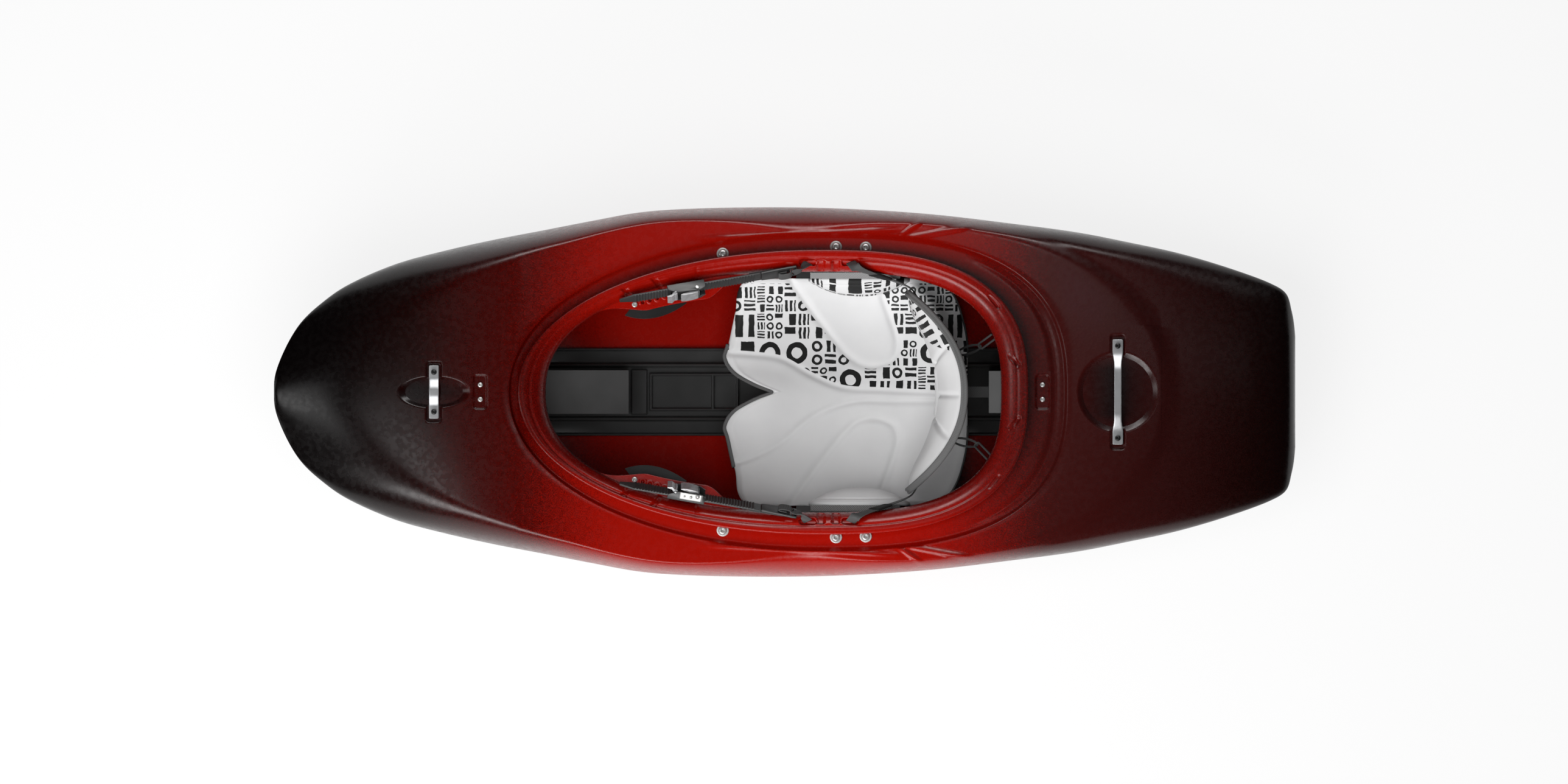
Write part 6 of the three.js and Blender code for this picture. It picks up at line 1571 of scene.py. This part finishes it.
# %% Shock cords
CORD_DIAMETER, CORD_HALF_LOOP, CORD_SIDES, CORD_TURN_STEPS, CORD_STEPS = 3.6, 4.9, 14, 19, 90
# Each cord has the place of its turn round the hook and how far to the side it ends under the rim
CORDS = (("right", (336.0, 79.0, 205.0), 95.0), ("left", (330.0, -91.0, 205.0), -112.0))
CORD_END_AHEAD, CORD_END_DOWN = 2.2, 2.4


def cord_path(start, end):
    run = unit(end - start)
    beside = unit(np.cross(run, UPRIGHT)) * CORD_HALF_LOOP
    turn = np.linspace(0, np.pi, CORD_TURN_STEPS)[:, None]
    bend = start + beside * np.cos(turn) - run * CORD_HALF_LOOP * np.sin(turn)
    return even(np.vstack([[end + beside], bend, [end - beside]]), CORD_STEPS)


for side, start, end_y in CORDS:
    _, box_high = box_of("shock_cord_" + side)
    end = np.array([box_high[0] - CORD_END_AHEAD, end_y, box_high[2] - CORD_END_DOWN])
    path = cord_path(np.array(start), end)
    mesh = swept("cord_loop_" + side, path, oval_section(CORD_DIAMETER, CORD_DIAMETER, CORD_SIDES), UPRIGHT)
    cord = place_piece("cord_loop_" + side, mesh, cord_finish, "hull", ["shock_cord_" + side])

# %% [markdown]
# ## Metal and moulded plastic
#
# Grab handles are satin aluminium, brushed along their length, so a highlight draws out across the
# grain. Screws are turned stainless steel with a bright ring and a dark six-sided socket. One noise,
# stretched along the grain, gives the fine scratches, and a coarse one gives the smudges.

# %% Metals
BRUSH_DEPTH, METAL_ROUGHER, SMUDGE_SIZE, SMUDGE_VALUES = 0.2, (-0.06, 0.1), 18, (0.82, 1.08)
DRAWN, TURNED, ROLLED = (1.0, 0.03, 1.0), (1.0, 1.0, 0.2), (0.1, 1.0, 1.0)


def brushed(name, color, roughness, metallic, stretch, grain_size, strength):
    material, tree, shader = new_material(name, color, roughness, metallic)
    place = object_place(tree)
    grain = noise(tree, vector_step(tree, "MULTIPLY", place, stretch)[0], grain_size)
    value = in_range(tree, noise(tree, place, SMUDGE_SIZE), SMUDGE_VALUES)
    tone = add(tree, "ShaderNodeHueSaturation", {"Color": linear(color), "Value": value}).outputs[0]
    drive(tree, shader, Base_Color=tone, Normal=bump(tree, grain, strength, BRUSH_DEPTH),
          Roughness=in_range(tree, grain, [roughness + more for more in METAL_ROUGHER]))
    return material


aluminium = brushed("brushed_anodised_aluminium", "#B9BABC", 0.38, 0.7, DRAWN, 0.25, 0.25)
stainless = brushed("turned_stainless_steel", "#D0D0CE", 0.3, 0.65, TURNED, 0.6, 0.1)
black_oxide = brushed("black_oxide_steel", "#3A3A3A", 0.3, 0.8, TURNED, 0.6, 0.1)
zinc = brushed("zinc_plated_steel", "#CFCFCD", 0.4, 0.4, TURNED, 0.6, 0.1)
pressed_steel = brushed("pressed_stainless_steel", "#B2B2B0", 0.38, 0.6, ROLLED, 0.5, 0.15)
print("five metals made")

# %% Grab handles bent from flat bar
BAR_THICK, BAR_FOOT, BAR_BEND, BAR_CORNER, BAR_END_SHARES = 5.0, 20.0, 2.6, 1.4, (0.86, 0.14)
BAR_STEPS, BAR_SIDES, BAR_POWER, BAR_WAIST_RUN = 181, 40, 7.0, 2.2
# The waist is the bar's width where the fingers close round it
BARS = (("bow_handle_bar", "bow_grab_handle", 16.5), ("stern_handle_bar", "stern_grab_handle", 12.5))


def slim_bar(mesh, middle, half_length, waist_share):
    for vertex in mesh.vertices:
        place = vertex.co / MM
        inward = half_length - abs(place.y - middle[1])
        slimmed = float(smooth(BAR_FOOT, BAR_WAIST_RUN * BAR_FOOT, np.array(inward)))
        slim = 1 + (waist_share - 1) * slimmed
        rounded = BAR_END_SHARES[0] + BAR_END_SHARES[1] * math.sqrt(max(0.0, inward) / BAR_CORNER)
        vertex.co.x = (middle[0] + (place.x - middle[0]) * slim * min(1.0, rounded)) * MM


def grab_bar(name, node, waist):
    low, high = box_of(node)
    middle, half, width = (low + high) / 2, (high - low) / 2, high[0] - low[0]
    rise = high[2] - low[2] - BAR_THICK
    y = np.linspace(-1, 1, BAR_STEPS) * half[1]
    lift = rise * smooth(BAR_FOOT, BAR_FOOT + BAR_BEND * rise, half[1] - np.abs(y))
    path = np.column_stack([np.full(len(y), middle[0]), middle[1] + y, low[2] + BAR_THICK / 2 + lift])
    mesh = swept(name, path, oval_section(width, BAR_THICK, BAR_SIDES, BAR_POWER), ALONG_BOAT)
    slim_bar(mesh, middle, half[1], waist / width)
    place_piece(name, mesh, aluminium, "hull", [node])


for bar in BARS:
    grab_bar(*bar)
print("two handles bent")

# %% [markdown]
# Screws and washers are turned on a lathe, so each is a row of rings round its own middle. A ring in
# the socket has six sides, and it turns round again on the way up to the head.

# %% Rings of screws and cup washers
TURN_SIDES, TURN_WELD, CLOSED_RADIUS = 48, 0.004, 0.003
SOCKET_DEPTH, SHAFT_CHAMFER, SHAFT_TIP_SHARE = 2.1, 1, 0.7
# Share of the socket's radius, depth under the top, and how six-sided the ring is
SOCKET_RINGS = ((0.7, SOCKET_DEPTH, 0.5), (1.0, 1.8, 1), (1.0, 0.5, 1), (1.1, 0.2, 0.8), (1.3, 0.0, 0.1))
# Share of the head's radius, depth as a share of its height, and a depth that is added
HEAD_RINGS = ((0.62, 0.0, 0.12), (0.8, 0.12, 0.1), (0.93, 0.35, 0.0), (0.99, 0.7, 0.0), (1.0, 0.97, 0.0),
              (0.98, 1.0, 0.0))
# Radius, and height from the washer's underside or from its top
WASHER_UNDER = ((3.6, 0.0), (10.2, 0.0), (10.5, 0.3), (10.3, 0.8))
WASHER_TOP = ((9.4, 0.0), (8.2, 0.0), (7.5, -0.5), (7.2, -0.7), (3.6, -0.7))


def ring_row(centre, radius, height, six):
    angle = np.linspace(0, 2 * np.pi, TURN_SIDES, endpoint=False)
    part = np.mod(angle, np.pi / 3) - np.pi / 6
    reach = radius * (1 + six * (1 / np.cos(part) - 1))
    return np.column_stack([centre[0] + reach * np.cos(angle), centre[1] + reach * np.sin(angle),
                            np.full(TURN_SIDES, height)])


def turned(name, centre, profile, material, replaced):
    rows = [ring_row(centre, *ring) for ring in profile]
    place_piece(name, welded(rows_mesh(name, rows), TURN_WELD), material, "hull", [replaced])


def screw(name, node, size, metal):
    low, high = box_of(node)
    head, height, shaft, socket = size
    bottom, top = low[2], high[2]
    profile = [(CLOSED_RADIUS, top - SOCKET_DEPTH, 0)]
    profile += [(socket * share, top - down, six) for share, down, six in SOCKET_RINGS]
    profile += [(head * share, top - part * height - more, 0) for share, part, more in HEAD_RINGS]
    profile += [(shaft, top - height, 0), (shaft, bottom + SHAFT_CHAMFER, 0),
                (shaft * SHAFT_TIP_SHARE, bottom, 0), (CLOSED_RADIUS, bottom, 0)]
    turned(name, (low + high)[:2] / 2, profile, metal, node)


def washer(name, node):
    low, high = box_of(node)
    bottom, thick = low[2], high[2] - low[2]
    profile = [(radius, bottom + up, 0) for radius, up in WASHER_UNDER]
    profile += [(radius, bottom + thick + up, 0) for radius, up in WASHER_TOP] + profile[:1]
    turned(name, (low + high)[:2] / 2, profile, zinc, node)


print("rings in a socket:", len(SOCKET_RINGS), "and over a head:", len(HEAD_RINGS))

# %% Turned screws and cup washers
# Head radius, head height, shaft radius and socket radius
BUTTON, DECK, BOLT = (7.1, 4.2, 2.7, 2.7), (4.35, 2.8, 1.9, 1.7), (4.85, 3.2, 2.4, 1.9)
HOOK = (4.85, 2.8, 1.9, 1.8)
SCREWS = (("bow_deck_screw_", "bow_pillar_screw_", DECK, stainless),
          ("stern_deck_screw_", "stern_pillar_screw_", DECK, stainless),
          ("bow_bolt_", "bow_handle_bolt_", BOLT, black_oxide),
          ("stern_bolt_", "stern_handle_bolt_", BOLT, black_oxide),
          ("hook_screw_", "brace_screw_", HOOK, stainless))

for side, _ in SIDES:
    for number in (1, 2, 3):
        washer(f"cup_washer_{side}_{number}", f"side_washer_{side}_{number}")
        screw(f"button_screw_{side}_{number}", f"side_screw_{side}_{number}", BUTTON, stainless)
    for name, node, size, metal in SCREWS:
        screw(name + side, node + side, size, metal)
print("screws turned")

# %% [markdown]
# Black parts are moulded with a fine spark texture, which keeps a broad dull highlight. Rounded edges
# matter as much as the finishes: a sharp solid catches no light on its corners.

# %% Moulded plastics
SPARK_STRENGTH, SPARK_DEPTH, PLASTIC_CLOUD, PLASTIC_ROUGHER = 0.1, 0.3, 45, (-0.05, 0.08)


def moulded(name, color, light, roughness, spark_size):
    material, tree, shader = new_material(name, color, roughness)
    place = object_place(tree)
    cloud = noise(tree, place, PLASTIC_CLOUD)
    spark = bump(tree, noise(tree, place, spark_size), SPARK_STRENGTH, SPARK_DEPTH)
    drive(tree, shader, Base_Color=mix_colors(tree, cloud, linear(color), linear(light)), Normal=spark,
          Roughness=in_range(tree, cloud, [roughness + more for more in PLASTIC_ROUGHER]))
    return material


rail_plastic = moulded("blow_moulded_black_polyethylene", "#2E2E2E", "#3C3C3C", 0.3, 1.6)
strap_nylon = moulded("moulded_strap_nylon", "#2A2A2A", "#383838", 0.42, 0.7)
hook_nylon = moulded("moulded_acetal", "#202020", "#2C2C2C", 0.32, 0.9)
pan_plastic = moulded("thermoformed_black_sheet", "#141414", "#1D1D1D", 0.45, 1.2)
# Node, finish, width of the bevel and its segments
SINGLE_NODES = (("seat_rail", rail_plastic, 2.5, 4), ("seat_pan", pan_plastic, 0.8, 3))
PAIRED_NODES = (("ladder_strap_", strap_nylon, 0.35, 2), ("strap_frame_", hook_nylon, 1.1, 3),
                ("cord_hook_", hook_nylon, 1.2, 3), ("thigh_brace_plate_", pan_plastic, 0.8, 3),
                ("lever_pin_", stainless, 0.3, 2), ("drive_pawl_", stainless, 0.3, 2),
                ("buckle_base_", hook_nylon, 0.6, 3))
for node in SINGLE_NODES:
    finish_node(*node)
for side, _ in SIDES:
    for name, material, width, segments in PAIRED_NODES:
        finish_node(name + side, material, width, segments)
print("moulded pieces finished")

# %% [markdown]
# The left buckle carries a pressed steel plate on its outer side, held by three rivets. The plate is
# thin and bare. It lies on the buckle's own surface, so its ends and its lean are measured there. The
# right buckle gets no plate: its side shows the dark base instead, as painted shade for the same steel.

# %% A bare steel side plate on the left buckle
PLATE_ENDS, PLATE_BESIDE = ((-180.0, -176.6), (-141.0, -183.2)), (-160.0, -185.0)
PLATE_WIDTH, PLATE_THICK, PLATE_LIFT_SHARE = 12.5, 1.2, 0.4
PLATE_STEPS, PLATE_SIDES, PLATE_POWER = 12, 40, 8.0
# Each rivet has its place along the plate as a share, its way down from the middle line and its width
RIVETS = [(0.22, 0.0, 3.2), (0.5, 0.0, 4.6), (0.78, 2.8, 7.2)]
RIVET_FOOT_SHARE, RIVET_HEIGHT, RIVET_STEPS, RIVET_SIDES = 0.5, 1.6, 5, 28

base_top = surface_of("buckle_base_left")
first, last, beside = (base_top(*place) for place in (*PLATE_ENDS, PLATE_BESIDE))
out = unit(np.cross(last - first, beside - first))
out *= np.sign(out[2])
down = unit(np.cross(out, last - first))
path = even(np.array([first, last]), PLATE_STEPS) + out * PLATE_THICK * PLATE_LIFT_SHARE
plate = swept("buckle_plate", path, oval_section(PLATE_WIDTH, PLATE_THICK, PLATE_SIDES, PLATE_POWER), down)
place_piece("buckle_plate", plate, pressed_steel, "hull")
for number, (share, aside, size) in enumerate(RIVETS):
    foot = first + (last - first) * share + down * aside + out * PLATE_THICK * RIVET_FOOT_SHARE
    path = foot + np.linspace(0, RIVET_HEIGHT, RIVET_STEPS)[:, None] * out
    rivet = swept(f"buckle_rivet_{number}", path, oval_section(size, size, RIVET_SIDES), down)
    place_piece(f"buckle_rivet_{number}", rivet, stainless, "hull")
print("plate of", round(float(np.linalg.norm(last - first)), 1), "mm on the left buckle")

# %% [markdown]
# The levers are clear polycarbonate. Clear plastic shows itself by its edges: it bends the light behind
# it and gathers bright lines where it is thick. A little roughness inside keeps it from looking like
# glass, and a grey tint keeps the pale floor's white out of it.

# %% Clear polycarbonate
CLEAR_ROUGHNESS, FLOW_SIZE, FLOW_STRENGTH, FLOW_DEPTH = 0.08, 6, 0.5, 1.2
CLEAR_BEND, CLEAR_SHARE = 1.58, 0.6
CLEAR_BEVELS, CLEAR_SEGMENTS, ROUNDER_LEVELS = (("ratchet_lever_", 1.6), ("release_lever_", 1.2)), 2, 2


def polycarbonate():
    material, tree, shader = new_material("clear_polycarbonate", "#D4D4D6", CLEAR_ROUGHNESS, IOR=CLEAR_BEND,
                                          Transmission_Weight=CLEAR_SHARE)
    flow = noise(tree, object_place(tree), FLOW_SIZE)
    drive(tree, shader, Base_Color=mix_colors(tree, flow, linear("#9A9A9C"), linear("#E2E2E4")),
          Normal=bump(tree, flow, FLOW_STRENGTH, FLOW_DEPTH))
    return material


clear = polycarbonate()
for side, _ in SIDES:
    for name, width in CLEAR_BEVELS:
        finish_node(name + side, clear, width, CLEAR_SEGMENTS)
        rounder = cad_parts[name + side].modifiers.new("rounder", "SUBSURF")
        rounder.levels = rounder.render_levels = ROUNDER_LEVELS
print("all carried-over solids have a finish")
